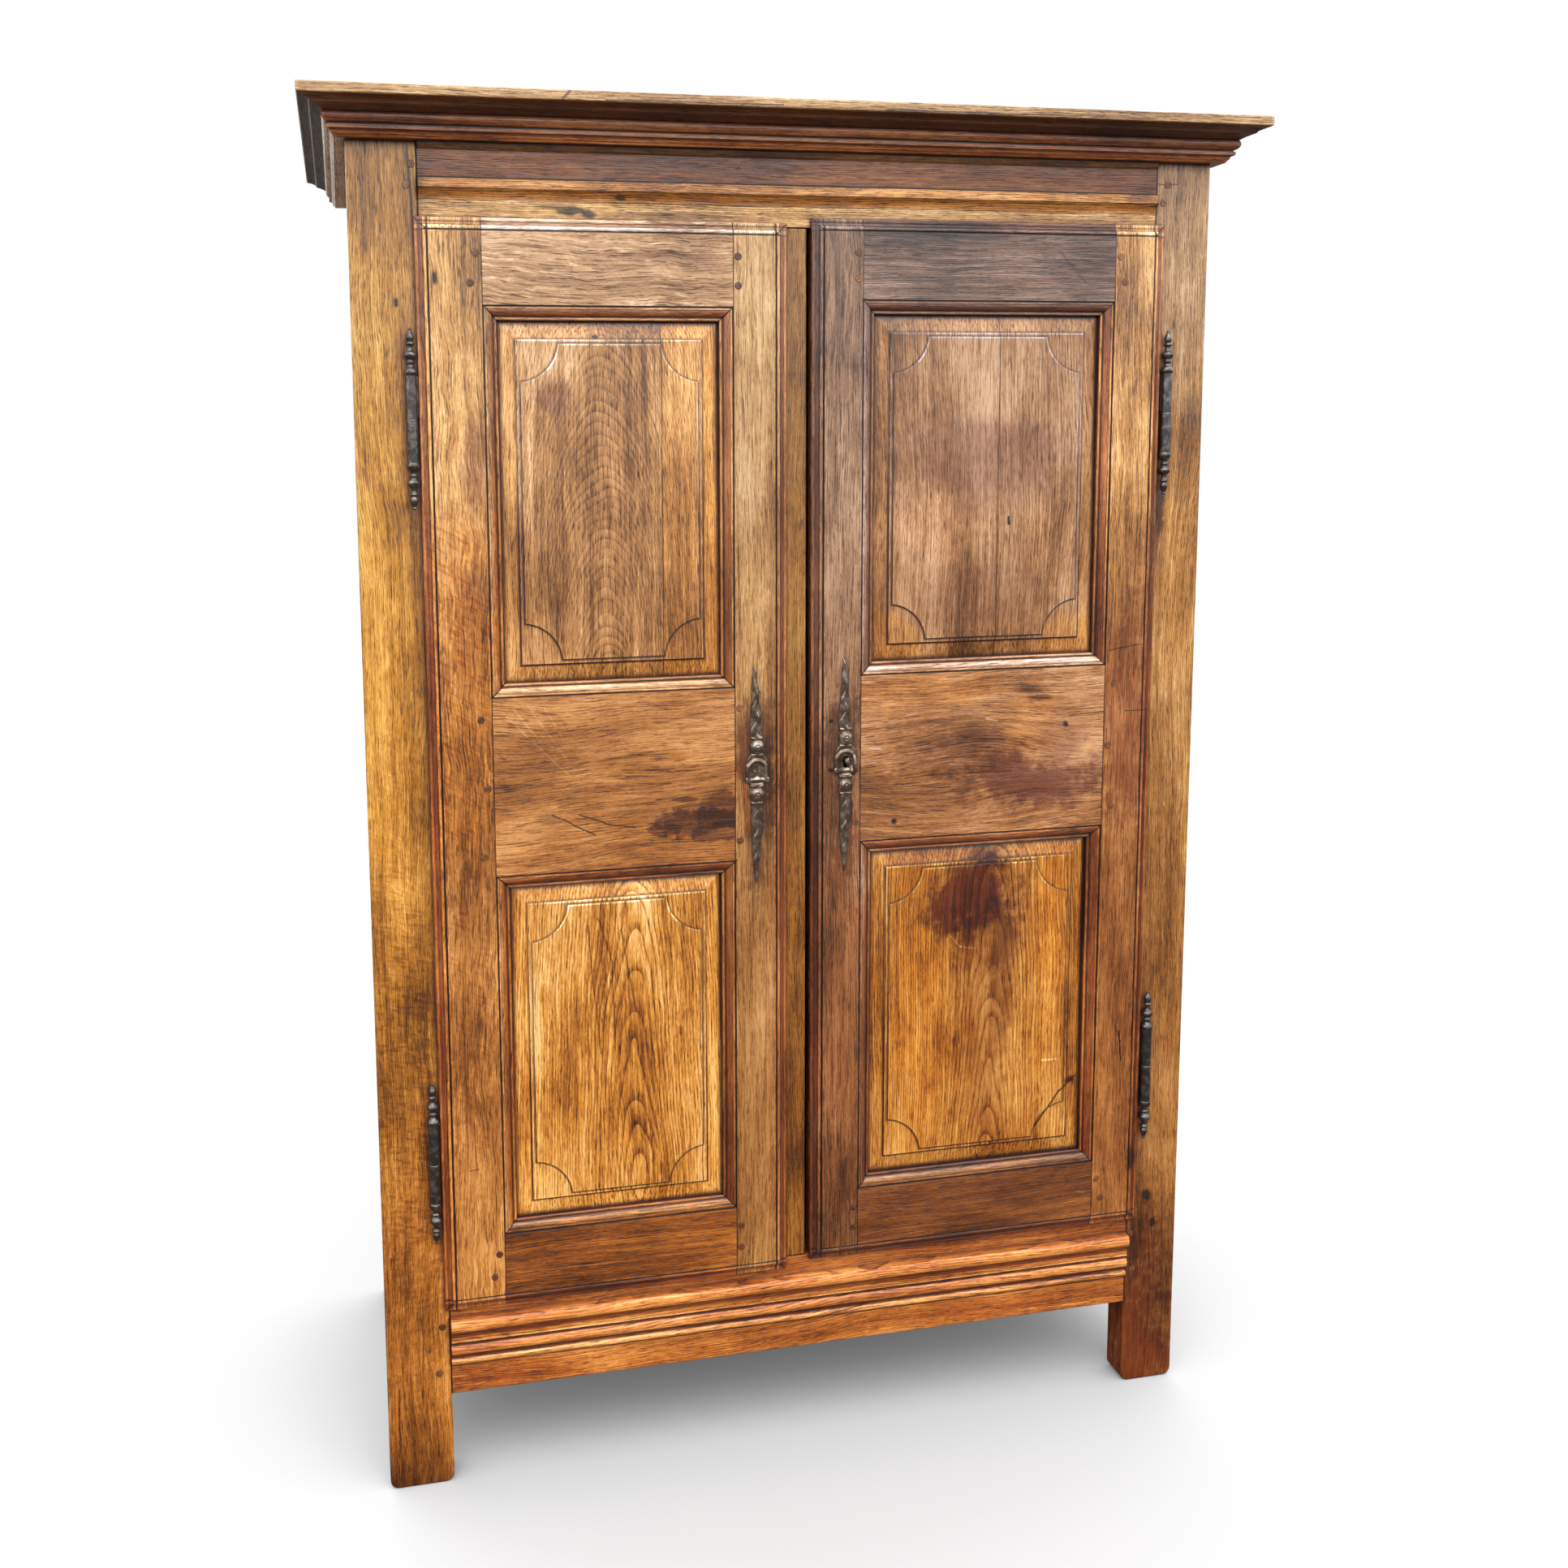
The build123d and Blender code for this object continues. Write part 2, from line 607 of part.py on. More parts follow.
def back_rail(label, z_low, z_high, tenon, rebate_low):
    """A plain rail between the back posts, rebated for the ends of the back boards."""
    reach = RIGHT - BACK_INSET - BACK_POST_WIDTH
    with BuildPart() as rail:
        block((-reach, BACK - BACK_RAIL_FRONT, z_low), (reach, BACK - BACK_BOARD_DEPTHS[1], z_high))
        for side in (-1, 1):
            x_low, x_high = sorted((side * reach, side * (reach + TENON_LENGTH)))
            block((x_low, BACK - BACK_TENON_DEPTHS[0], tenon[0]),
                  (x_high, BACK - BACK_TENON_DEPTHS[1], tenon[1]))
        block((-reach, BACK - BACK_BOARD_DEPTHS[0], rebate_low),
              (reach, BACK - BACK_BOARD_DEPTHS[1], rebate_low + BACK_REBATE), Mode.SUBTRACT)
    save(rail, label)


def side_rail(label, side, z_low, z_high, tenon):
    """A side rail between a front and a back post, grooved for the side panel."""
    x_low, x_high = sorted((side * (RIGHT - BACK_INSET), side * (RIGHT - SIDE_THICKNESS)))
    t_low, t_high = sorted(side * (RIGHT - face) for face in SIDE_TENON_FACES)
    with BuildPart() as rail:
        block((x_low, FRONT + POST_DEPTH, z_low), (x_high, BACK - POST_DEPTH, z_high))
        block((t_low, FRONT + POST_DEPTH - SIDE_TENON_LENGTH, tenon[0]),
              (t_high, BACK - POST_DEPTH + SIDE_TENON_LENGTH, tenon[1]))
        block(*side_panel_box(side), mode=Mode.SUBTRACT)
    save(rail, label)


def side_panel(label, side):
    """A side panel, bevelled on its outer face, with tongues all round."""
    low, high = side_panel_box(side)
    middle_y = (low[1] + high[1]) / 2
    middle_z = (low[2] + high[2]) / 2
    width = high[1] - low[1]
    height = high[2] - low[2]
    tongue = SIDE_GROOVE[1] - SIDE_GROOVE[0]
    inner = side * (RIGHT - SIDE_GROOVE[1])
    outer = side * (RIGHT - SIDE_GROOVE[0])
    face = side * (RIGHT - SIDE_GROOVE[0] + SIDE_GROOVE_SPARE)
    margin = 2 * (PANEL_TONGUE + BEVEL_WIDTH)
    slack = 0.5

    def side_plane(x):
        return Plane(origin=(x, middle_y, middle_z), x_dir=(0, 1, 0), z_dir=(side, 0, 0))

    with BuildPart() as panel:
        with BuildSketch(side_plane(inner)):
            Rectangle(width, height)
        extrude(amount=tongue)
        with BuildSketch(side_plane(outer)):
            Rectangle(width - 2 * (PANEL_TONGUE + slack), height - 2 * (PANEL_TONGUE + slack))
        with BuildSketch(side_plane(face)):
            Rectangle(width - margin, height - margin)
        loft()
    save(panel, label)


def bed_profile(at):
    """Lower cornice: a small ovolo, a hollow, a fillet and a torus. At maps (outwards, up)."""
    Polyline(at(-CORNICE_BACKING, 0), at(14.8, 0), at(16.2, 2.6))
    ThreePointArc(at(16.2, 2.6), at(18.2, 4.4), at(18.9, 6.6))
    ThreePointArc(at(18.9, 6.6), at(20.8, 8.8), at(24.2, 9.4))
    Polyline(at(24.2, 9.4), at(24.5, 14.4), at(22.4, 14.8), at(22.4, 16.6))
    ThreePointArc(at(22.4, 16.6), at(29.3, 22.4), at(27.2, 31))
    Polyline(at(27.2, 31), at(-CORNICE_BACKING, 31), at(-CORNICE_BACKING, 0))


def crown_profile(at):
    """Upper cornice: a sloping soffit in two steps under a plain square edge."""
    Polyline(at(-CORNICE_BACKING, 31), at(28.4, 31))
    ThreePointArc(at(28.4, 31), at(36.4, 35.2), at(44.4, 37.6))
    Polyline(at(44.4, 37.6), at(46.6, 40.8))
    ThreePointArc(at(46.6, 40.8), at(53.4, 43.8), at(59.4, 44.8))
    Polyline(at(59.4, 44.8), at(OVERHANG, 46.4), at(OVERHANG, 58), at(OVERHANG - 1, CORNICE_HEIGHT),
             at(-CORNICE_BACKING, CORNICE_HEIGHT), at(-CORNICE_BACKING, 31))


def cornice_front(label, profile):
    """A front length of cornice, mitred at both ends."""
    reach = RIGHT + OVERHANG
    depth = OVERHANG + CORNICE_BACKING
    with BuildPart() as length:
        with BuildSketch(Plane.YZ.offset(-reach)):
            with BuildLine():
                profile(lambda out, up: (FRONT - out, CORNICE_UNDERSIDE + up))
            make_face()
        extrude(amount=2 * reach)
        with BuildSketch(Plane.XY.offset(CORNICE_UNDERSIDE)):
            with BuildLine():
                Polyline((-reach, FRONT - OVERHANG), (reach, FRONT - OVERHANG),
                         (reach - depth, FRONT - OVERHANG + depth),
                         (depth - reach, FRONT - OVERHANG + depth), close=True)
            make_face()
        extrude(amount=CORNICE_HEIGHT, mode=Mode.INTERSECT)
    save(length, label)


def cornice_return(label, side, profile, end):
    """A side length of cornice, mitred at the front and sawn off square at the back."""
    reach = RIGHT + OVERHANG
    depth = OVERHANG + CORNICE_BACKING
    nose = FRONT - OVERHANG
    with BuildPart() as length:
        with BuildSketch(front_plane(0, end, 0)):
            with BuildLine():
                profile(lambda out, up: (side * (RIGHT + out), CORNICE_UNDERSIDE + up))
            make_face()
        extrude(amount=end - nose)
        with BuildSketch(Plane.XY.offset(CORNICE_UNDERSIDE)):
            with BuildLine():
                Polyline((side * reach, nose), (side * (reach - depth), nose + depth),
                         (side * (reach - depth), end), (side * reach, end), close=True)
            make_face()
        extrude(amount=CORNICE_HEIGHT, mode=Mode.INTERSECT)
    save(length, label)


def board_row(label, low, high, count, axis):
    """Equal boards side by side along an axis, with eased edges, as separate solids."""
    span = (high[axis] - low[axis] + BOARD_GAP) / count
    with BuildPart() as boards:
        for index in range(count):
            first = list(low)
            last = list(high)
            first[axis] = low[axis] + index * span
            last[axis] = first[axis] + span - BOARD_GAP
            block(first, last)
        chamfer(boards.edges().filter_by(Axis.X if axis == 1 else Axis.Z), BOARD_EASE)
    save(boards, label)


def shelf(label, z):
    """A shelf with an eased front edge."""
    reach = RIGHT - SIDE_THICKNESS - SHELF_GAP
    with BuildPart() as plank:
        block((-reach, FRONT + SHELF_FRONT, z), (reach, BACK - POST_DEPTH - SHELF_GAP, z + SHELF_THICKNESS))
        fillet(plank.edges().filter_by(Axis.X).group_by(Axis.Y)[0], SHELF_EDGE_RADIUS)
    save(plank, label)


def cleats():
    """Battens between the posts that carry the shelves and the floor."""
    with BuildPart() as battens:
        for side in (-1, 1):
            x_low, x_high = sorted((side * (RIGHT - SIDE_THICKNESS),
                                    side * (RIGHT - SIDE_THICKNESS - CLEAT_WIDTH)))
            for z_high in (FLOOR_TOP - BOARD_THICKNESS, *SHELF_HEIGHTS):
                block((x_low, FRONT + POST_DEPTH, z_high - CLEAT_HEIGHT),
                      (x_high, BACK - POST_DEPTH, z_high))
    save(battens, "shelf_cleats")


# ---------------------------------------------------------------- ironwork
def finial(at):
    """A turned hinge end, from the barrel out to its tip. At maps (radius, distance out)."""
    Line(at(HINGE_RADIUS, 0), at(HINGE_RADIUS + 0.6, 1.2))
    ThreePointArc(at(HINGE_RADIUS + 0.6, 1.2), at(9, 5.5), at(7.2, 9.6))
    ThreePointArc(at(7.2, 9.6), at(4.6, 12.6), at(4.4, 16))
    ThreePointArc(at(4.4, 16), at(6.2, 18), at(4.6, 20))
    Line(at(4.6, 20), at(4.6, 22))
    ThreePointArc(at(4.6, 22), at(8.6, 28), at(4.4, 34))
    ThreePointArc(at(4.4, 34), at(3.4, 37.5), at(3.6, 41))
    ThreePointArc(at(3.6, 41), at(6.2, 43.6), at(3.4, 46))
    Spline(at(3.4, 46), at(5.5, 52), at(3.8, 58), at(2, 61.4))
    ThreePointArc(at(2, 61.4), at(2.6, 63), at(1.6, 64.8))
    Line(at(1.6, 64.8), at(0, FINIAL_LENGTH))


def hinge_axis(door):
    """The upright axis that a door turns about."""
    return Axis((door.hinge_x, FRONT - HINGE_BEHIND, 0), (0, 0, 1))


def hinge_lower_halves():
    """The fixed halves: turned end, barrel and standing pin in one, with a leaf in the post."""
    with BuildPart() as halves:
        for door, middle in HINGES:
            with BuildSketch(front_plane(door.hinge_x, FRONT - HINGE_BEHIND, middle)):
                with BuildLine():
                    finial(lambda r, out: (r, -BARREL_HALF - out))
                    Polyline((HINGE_RADIUS, -BARREL_HALF), (HINGE_RADIUS, 0), (PIN_RADIUS, 0),
                             (PIN_RADIUS, PIN_LENGTH - 2), (PIN_RADIUS - 2, PIN_LENGTH),
                             (0, PIN_LENGTH), (0, -BARREL_HALF - FINIAL_LENGTH))
                make_face()
            revolve(axis=hinge_axis(door))
            hinge_leaf_slot(door, middle, Mode.ADD)
    save(halves, "hinge_lower_halves")


def door_leaf(door, middle, mode):
    """The plate that fixes a hinge's upper half in the door's edge, or the slot for it."""
    near = door.hinge_x + door.side * PIN_RADIUS
    x_low, x_high = sorted((near, door.outer + door.side * LEAF_LENGTH))
    y_low = FRONT - LEAF_DOOR_DEPTH
    z_low = middle + LEAF_GAP
    block((x_low, y_low, z_low), (x_high, y_low + LEAF_THICKNESS, z_low + LEAF_HEIGHT), mode)


def hinge_upper_halves(label, door, middles):
    """The moving halves: a bored barrel with a turned end, and a leaf in the door's edge."""
    bore = PIN_RADIUS + PIN_CLEARANCE
    bore_top = PIN_LENGTH + 3
    with BuildPart() as halves:
        for middle in middles:
            with BuildSketch(front_plane(door.hinge_x, FRONT - HINGE_BEHIND, middle)):
                with BuildLine():
                    finial(lambda r, out: (r, BARREL_HALF + out))
                    Polyline((HINGE_RADIUS, BARREL_HALF), (HINGE_RADIUS, HINGE_GAP), (bore, HINGE_GAP),
                             (bore, bore_top), (0, bore_top), (0, BARREL_HALF + FINIAL_LENGTH))
                make_face()
            revolve(axis=hinge_axis(door))
            door_leaf(door, middle, Mode.ADD)
            with BuildSketch(Plane(origin=(door.hinge_x, FRONT - HINGE_BEHIND, middle))):
                Circle(bore)
            extrude(amount=bore_top, mode=Mode.SUBTRACT)
    save(halves, label)


# Outline of an escutcheon from its keyhole. Its waving tips have two different edges; between
# them only the right edge is given, and the left one mirrors it.
BLADE_TIP = (-4, 155)
BLADE_RIGHT = [BLADE_TIP, (0.5, 147), (-0.6, 134), (4.4, 118), (3.4, 101), (6.6, 84), (6, 68), (8.4, 54),
               (9.4, 46)]
BLADE_LEFT = [BLADE_TIP, (-6, 140), (-6.4, 118), (-7.8, 100), (-9, 84), (-10.8, 66), (-10.8, 54),
              (-9.4, 46)]
UPPER_BOSS = [(9.4, 46), (11.4, 34), (9.6, 23)]
ARCH = [(9.6, 23), (15.4, 14), (17.4, 2), (16.6, -12)]
BASE = [(16.6, -12), (18.4, -13), (18.4, -19), (12.4, -20.5), (10, -27)]
LOWER_BOSS = [(10, -27), (12.6, -39), (9.4, -50)]
LEAF_TIP = (0, -174)
LEAF_RIGHT = [(9.4, -50), (9.4, -57), (12.8, -70), (10, -90), (5.6, -108), (5.2, -128), (2.6, -146),
              (3, -160), LEAF_TIP]
LEAF_LEFT = [(-9.4, -50), (-8.2, -58), (-8, -76), (-8.8, -95), (-8, -114), (-7.4, -134), (-5, -152),
             (-3.4, -165), LEAF_TIP]


def keyhole(mode):
    """A round hole with a slot below it, in the enclosing sketch."""
    Circle(KEYHOLE_RADIUS, mode=mode)
    with Locations((0, -KEYHOLE_DROP / 2)):
        Rectangle(KEYHOLE_SLOT, KEYHOLE_DROP, mode=mode)


def escutcheon(label, spot, pierced):
    """A flame-shaped iron plate with bosses, an arch over its keyhole and a stepped base."""
    x, z = spot
    with BuildPart() as plate:
        with BuildSketch(front_plane(x, DOOR_FACE, z)):
            with BuildLine() as middle:
                Spline(UPPER_BOSS)
                Spline(ARCH)
                Polyline(BASE)
                Spline(LOWER_BOSS)
                mirror(middle.line, about=Plane.YZ)
                for edge in (BLADE_RIGHT, BLADE_LEFT, LEAF_RIGHT, LEAF_LEFT):
                    Spline(edge)
            make_face()
            if pierced:
                keyhole(Mode.SUBTRACT)
            with Locations(*[(0, offset) for offset in NAIL_OFFSETS]):
                Circle(NAIL_SHANK_RADIUS, mode=Mode.SUBTRACT)
        extrude(amount=ESCUTCHEON_THICKNESS)
        with BuildSketch(front_plane(x, DOOR_FACE - ESCUTCHEON_THICKNESS, z)):
            with BuildLine():
                CenterArc((0, 0), 15.4, 0, 180)
                CenterArc((0, 0), 10.4, 0, 180)
                Polyline((15.4, 0), (15.4, -13), (10.4, -13), (10.4, 0))
                Polyline((-15.4, 0), (-15.4, -13), (-10.4, -13), (-10.4, 0))
            make_face()
        extrude(amount=2.2)
    save(plate, label)


def nails(label, spot):
    """Two round-headed nails that hold an escutcheon on its door."""
    x, z = spot
    seat = DOOR_FACE - ESCUTCHEON_THICKNESS
    with BuildPart() as pair:
        for offset in NAIL_OFFSETS:
            origin = (x, seat, z + offset)
            with BuildSketch(Plane(origin=origin, x_dir=(1, 0, 0), z_dir=(0, 0, -1))):
                with BuildLine():
                    Polyline((0, -NAIL_LENGTH), (NAIL_SHANK_RADIUS, 4 - NAIL_LENGTH),
                             (NAIL_SHANK_RADIUS, 0), (NAIL_HEAD_RADIUS, 0))
                    ThreePointArc((NAIL_HEAD_RADIUS, 0), (9, 2.2), (5.6, 2.4))
                    CenterArc((0, -1.8), 7, 36.8699, 53.1301)
                    Line((0, 5.2), (0, -NAIL_LENGTH))
                make_face()
            revolve(axis=Axis(origin, (0, -1, 0)))
    save(pair, label)


def nail_holes(spot):
    """The holes that an escutcheon's nails leave in a stile."""
    x, z = spot
    depth = NAIL_LENGTH - ESCUTCHEON_THICKNESS
    for offset in NAIL_OFFSETS:
        with BuildSketch(front_plane(x, DOOR_FACE + depth, z + offset)) as hole:
            Circle(NAIL_SHANK_RADIUS)
        extrude(hole.sketch, amount=depth, mode=Mode.SUBTRACT)


def lock_case():
    """An iron box behind the right door, open to the door, with a slot for the bolt."""
    x, z = RIGHT_KEYHOLE
    low = (LOCK_LEFT, DOOR_BACK, z - LOCK_HEIGHT / 2)
    high = (LOCK_LEFT + LOCK_WIDTH, DOOR_BACK + LOCK_DEPTH, z + LOCK_HEIGHT / 2)
    inner_low = (low[0] + LOCK_WALL, low[1], low[2] + LOCK_WALL)
    inner_high = (high[0] - LOCK_WALL, high[1] - LOCK_WALL, high[2] - LOCK_WALL)
    slack = SLIDE_CLEARANCE / 2
    with BuildPart() as case:
        block(low, high)
        block(inner_low, inner_high, Mode.SUBTRACT)
        block((low[0], DOOR_BACK + BOLT_BEHIND - slack, z + BOLT_LIFT - slack),
              (inner_low[0], DOOR_BACK + BOLT_BEHIND + BOLT_DEPTH + slack,
               z + BOLT_LIFT + BOLT_HEIGHT + slack), Mode.SUBTRACT)
    save(case, "lock_case")


def lock_bolt():
    """The bolt that the key throws across into the left door, with an eased tip."""
    z = RIGHT_KEYHOLE[1] + BOLT_LIFT
    y = DOOR_BACK + BOLT_BEHIND
    with BuildPart() as bolt:
        block((BOLT_TIP, y, z), (BOLT_TIP + BOLT_LENGTH, y + BOLT_DEPTH, z + BOLT_HEIGHT))
        chamfer(bolt.faces().sort_by(Axis.X)[0].edges(), 0.8)
    save(bolt, "lock_bolt")


def lock_strike():
    """The iron box on the back of the left door that receives the lock's bolt."""
    z = RIGHT_KEYHOLE[1] + BOLT_LIFT + BOLT_HEIGHT / 2
    right = LEFT_DOOR.meeting + STRIP_WIDTH
    low = (right - STRIKE_WIDTH, DOOR_BACK, z - STRIKE_HEIGHT / 2)
    high = (right, DOOR_BACK + BOLT_BEHIND + BOLT_DEPTH + 1 + STRIKE_WALL, z + STRIKE_HEIGHT / 2)
    with BuildPart() as strike:
        block(low, high)
        block((right - BOLT_TRAVEL, DOOR_BACK + STRIKE_WALL, z - BOLT_HEIGHT / 2 - 1),
              (right, high[1] - STRIKE_WALL, z + BOLT_HEIGHT / 2 + 1), Mode.SUBTRACT)
    save(strike, "lock_strike")


def key():
    """A key with an oval bow standing in line with its bit, a collar and a solid stem."""
    x, z = RIGHT_KEYHOLE
    bow_back = FRONT - BOW_FRONT + BOW_DEPTH
    bow_middle = bow_back - BOW_DEPTH / 2
    stem_end = FRONT + KEY_REACH
    with BuildPart() as body:
        origin = (x - BOW_THICKNESS / 2, bow_middle, z)
        with BuildSketch(Plane(origin=origin, x_dir=(0, 1, 0), z_dir=(1, 0, 0))):
            Ellipse(BOW_DEPTH / 2, BOW_HEIGHT / 2)
            Ellipse(BOW_DEPTH / 2 - BOW_RIM, BOW_HEIGHT / 2 - BOW_RIM, mode=Mode.SUBTRACT)
        extrude(amount=BOW_THICKNESS)
        fillet(body.edges(), 1.4)
        with BuildSketch(front_plane(x, stem_end, z)):
            Circle(KEY_RADIUS)
        extrude(amount=stem_end - bow_back + BOW_RIM / 2)
        for reach in (2, 7):
            with BuildSketch(front_plane(x, bow_back + reach + 2.4, z)):
                Circle(KEY_RADIUS + 1.6)
            extrude(amount=2.4)
        bit_back = DOOR_BACK + 3 + KEY_BIT_WIDTH
        block((x - KEY_BIT_THICKNESS / 2, DOOR_BACK + 3, z - KEY_BIT),
              (x + KEY_BIT_THICKNESS / 2, bit_back, z - KEY_RADIUS / 2))
        for ward in (2.4, 6.8):
            block((x - KEY_BIT_THICKNESS, DOOR_BACK + 3 + ward, z - KEY_BIT - 1),
                  (x + KEY_BIT_THICKNESS, DOOR_BACK + 4.4 + ward, z - KEY_BIT + 4.6), Mode.SUBTRACT)
    save(body, "key")


def door_bolt_middle(top):
    """Height of the middle of a door bolt's bar, for the upper or the lower bolt."""
    if top:
        return OPENING_TOP - DOOR_BOLT_END_GAP - DOOR_BOLT_LENGTH / 2
    return OPENING_BOTTOM + DOOR_BOLT_END_GAP + DOOR_BOLT_LENGTH / 2


def door_bolt(label, top):
    """A flat sliding bolt with a turned knob at its middle."""
    middle = door_bolt_middle(top)
    y = DOOR_BACK + DOOR_BOLT_BEHIND
    face = y + DOOR_BOLT_THICKNESS
    with BuildPart() as bolt:
        block((DOOR_BOLT_X - DOOR_BOLT_WIDTH / 2, y, middle - DOOR_BOLT_LENGTH / 2),
              (DOOR_BOLT_X + DOOR_BOLT_WIDTH / 2, face, middle + DOOR_BOLT_LENGTH / 2))
        ends = bolt.faces().sort_by(Axis.Z)
        chamfer(ends[-1].edges() + ends[0].edges(), 1)
        origin = (DOOR_BOLT_X, face, middle)
        with BuildSketch(Plane(origin=origin, x_dir=(1, 0, 0), z_dir=(0, 0, 1))):
            with BuildLine():
                Polyline((0, -1), (3, -1), (3, 3))
                ThreePointArc((3, 3), (KNOB_RADIUS, 8.5), (3.4, KNOB_LENGTH - 0.6))
                Line((3.4, KNOB_LENGTH - 0.6), (0, KNOB_LENGTH))
                Line((0, KNOB_LENGTH), (0, -1))
            make_face()
        revolve(axis=Axis(origin, (0, 1, 0)))
    save(bolt, label)


def bolt_plates():
    """The two plates that guide the door bolts, each with a pair of bridges over its bolt."""
    half = DOOR_BOLT_WIDTH / 2 + SLIDE_CLEARANCE
    outer = DOOR_BACK + DOOR_BOLT_BEHIND + DOOR_BOLT_THICKNESS + SLIDE_CLEARANCE
    base = DOOR_BACK + PLATE_THICKNESS
    with BuildPart() as plates:
        for top in (True, False):
            middle = door_bolt_middle(top)
            block((DOOR_BOLT_X - PLATE_WIDTH / 2, DOOR_BACK, middle - PLATE_LENGTH / 2),
                  (DOOR_BOLT_X + PLATE_WIDTH / 2, base, middle + PLATE_LENGTH / 2))
            for end in (-1, 1):
                z = middle + end * (PLATE_LENGTH / 2 - STAPLE_HEIGHT)
                z_low = z - STAPLE_HEIGHT / 2
                z_high = z + STAPLE_HEIGHT / 2
                block((DOOR_BOLT_X - half - STAPLE_WALL, base, z_low),
                      (DOOR_BOLT_X + half + STAPLE_WALL, outer + STAPLE_WALL, z_high))
                block((DOOR_BOLT_X - half, base, z_low), (DOOR_BOLT_X + half, outer, z_high),
                      Mode.SUBTRACT)
    save(plates, "bolt_plates")


def rebate_strip():
    """The plain strip beside the left door's moulding, which the right door closes up to."""
    low = (LEFT_DOOR.meeting - EDGE_CLEARANCE, FRONT, OPENING_BOTTOM + EDGE_CLEARANCE)
    high = (LEFT_DOOR.meeting + STRIP_WIDTH, DOOR_BACK, OPENING_TOP - EDGE_CLEARANCE)
    with BuildPart() as strip:
        block(low, high)
        fillet(strip.edges().filter_by(Axis.Z).group_by(Axis.X)[-1].sort_by(Axis.Y)[0], 3)
    save(strip, "left_rebate_strip")


# ---------------------------------------------------------------- the pieces
front_post("front_post_left", -1, LEFT_POST_WIDTH, LEFT_DOOR, LEFT_HINGES, CARCASS_PEGS_LEFT)
front_post("front_post_right", 1, RIGHT_POST_WIDTH, RIGHT_DOOR, RIGHT_HINGES, CARCASS_PEGS_RIGHT)
back_post("back_post_left", -1)
back_post("back_post_right", 1)
front_top_rail()
front_bottom_rail()
back_rail("back_top_rail", BACK_TOP_RAIL_BOTTOM, CORNICE_UNDERSIDE, TOP_TENON, BACK_TOP_RAIL_BOTTOM)
back_rail("back_bottom_rail", APRON_BOTTOM, FLOOR_TOP, BOTTOM_TENON, FLOOR_TOP - BACK_REBATE)
for name, hand in (("left", -1), ("right", 1)):
    side_rail(f"side_top_rail_{name}", hand, CORNICE_UNDERSIDE - SIDE_TOP_RAIL, CORNICE_UNDERSIDE,
              TOP_TENON)
    side_rail(f"side_bottom_rail_{name}", hand, APRON_BOTTOM, SIDE_BOTTOM_TOP, BOTTOM_TENON)
    side_panel(f"side_panel_{name}", hand)
    cornice_return(f"cornice_bed_{name}", hand, bed_profile, BACK - CORNICE_BED_SHORT)
    cornice_return(f"cornice_crown_{name}", hand, crown_profile, BACK)
cornice_front("cornice_bed_front", bed_profile)
cornice_front("cornice_crown_front", crown_profile)

back_half = RIGHT - BACK_INSET - BACK_POST_WIDTH
board_row("back_boards", [-back_half, BACK - BACK_BOARD_DEPTHS[0], FLOOR_TOP - BACK_REBATE],
          [back_half, BACK - BACK_BOARD_DEPTHS[1], BACK_TOP_RAIL_BOTTOM + BACK_REBATE],
          BACK_BOARD_COUNT, 0)
floor_half = RIGHT - SIDE_THICKNESS - BOARD_GAP
board_row("floor_boards", [-floor_half, FRONT + POST_DEPTH, FLOOR_TOP - BOARD_THICKNESS],
          [floor_half, BACK - POST_DEPTH, FLOOR_TOP], FLAT_BOARD_COUNT, 1)
roof_inset = CORNICE_BACKING + BOARD_GAP
board_row("roof_boards", [-RIGHT + roof_inset, FRONT + roof_inset, CORNICE_UNDERSIDE],
          [RIGHT - roof_inset, BACK, CORNICE_UNDERSIDE + BOARD_THICKNESS], FLAT_BOARD_COUNT, 1)
shelf("lower_shelf", SHELF_HEIGHTS[0])
shelf("upper_shelf", SHELF_HEIGHTS[1])
cleats()
pegs("carcass_pegs", [(CARCASS_PEGS_LEFT, FRONT), (CARCASS_PEGS_RIGHT, FRONT)])
hinge_lower_halves()

for name, door, middles in (("left", LEFT_DOOR, LEFT_HINGES), ("right", RIGHT_DOOR, RIGHT_HINGES)):
    is_right = door is RIGHT_DOOR
    spot = RIGHT_KEYHOLE if is_right else LEFT_KEYHOLE

    def hinge_cuts():
        for height in middles:
            door_leaf(door, height, Mode.SUBTRACT)

    def lock_cuts():
        nail_holes(spot)
        if is_right:
            with BuildSketch(front_plane(spot[0], DOOR_BACK, spot[1])) as hole:
                keyhole(Mode.ADD)
            extrude(hole.sketch, amount=DOOR_THICKNESS, mode=Mode.SUBTRACT)

    door_stile(f"{name}_hinge_stile", door, door.outer, door.inner_outer, hinge_cuts)
    door_stile(f"{name}_meeting_stile", door, door.meeting, door.inner_meeting, lock_cuts)
    for index, place_name in enumerate(("bottom", "middle", "top")):
        door_rail(f"{name}_{place_name}_rail", door, index, lock_cuts if index == 1 else None)
    for index, place_name in enumerate(("lower", "upper")):
        door_panel(f"{name}_{place_name}_panel", door, index)
    hinge_spots = peg_spots(door, door.inner_outer, door.side)
    meeting_spots = peg_spots(door, door.inner_meeting, -door.side)
    pegs(f"{name}_door_pegs", [(hinge_spots, DOOR_FACE), (meeting_spots, DOOR_FACE)])
    hinge_upper_halves(f"{name}_hinge_halves", door, middles)
    escutcheon(f"{name}_escutcheon", spot, is_right)
    nails(f"{name}_escutcheon_nails", spot)

rebate_strip()
lock_strike()
lock_case()
lock_bolt()
key()
door_bolt("upper_bolt", True)
door_bolt("lower_bolt", False)
bolt_plates()
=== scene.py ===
import math

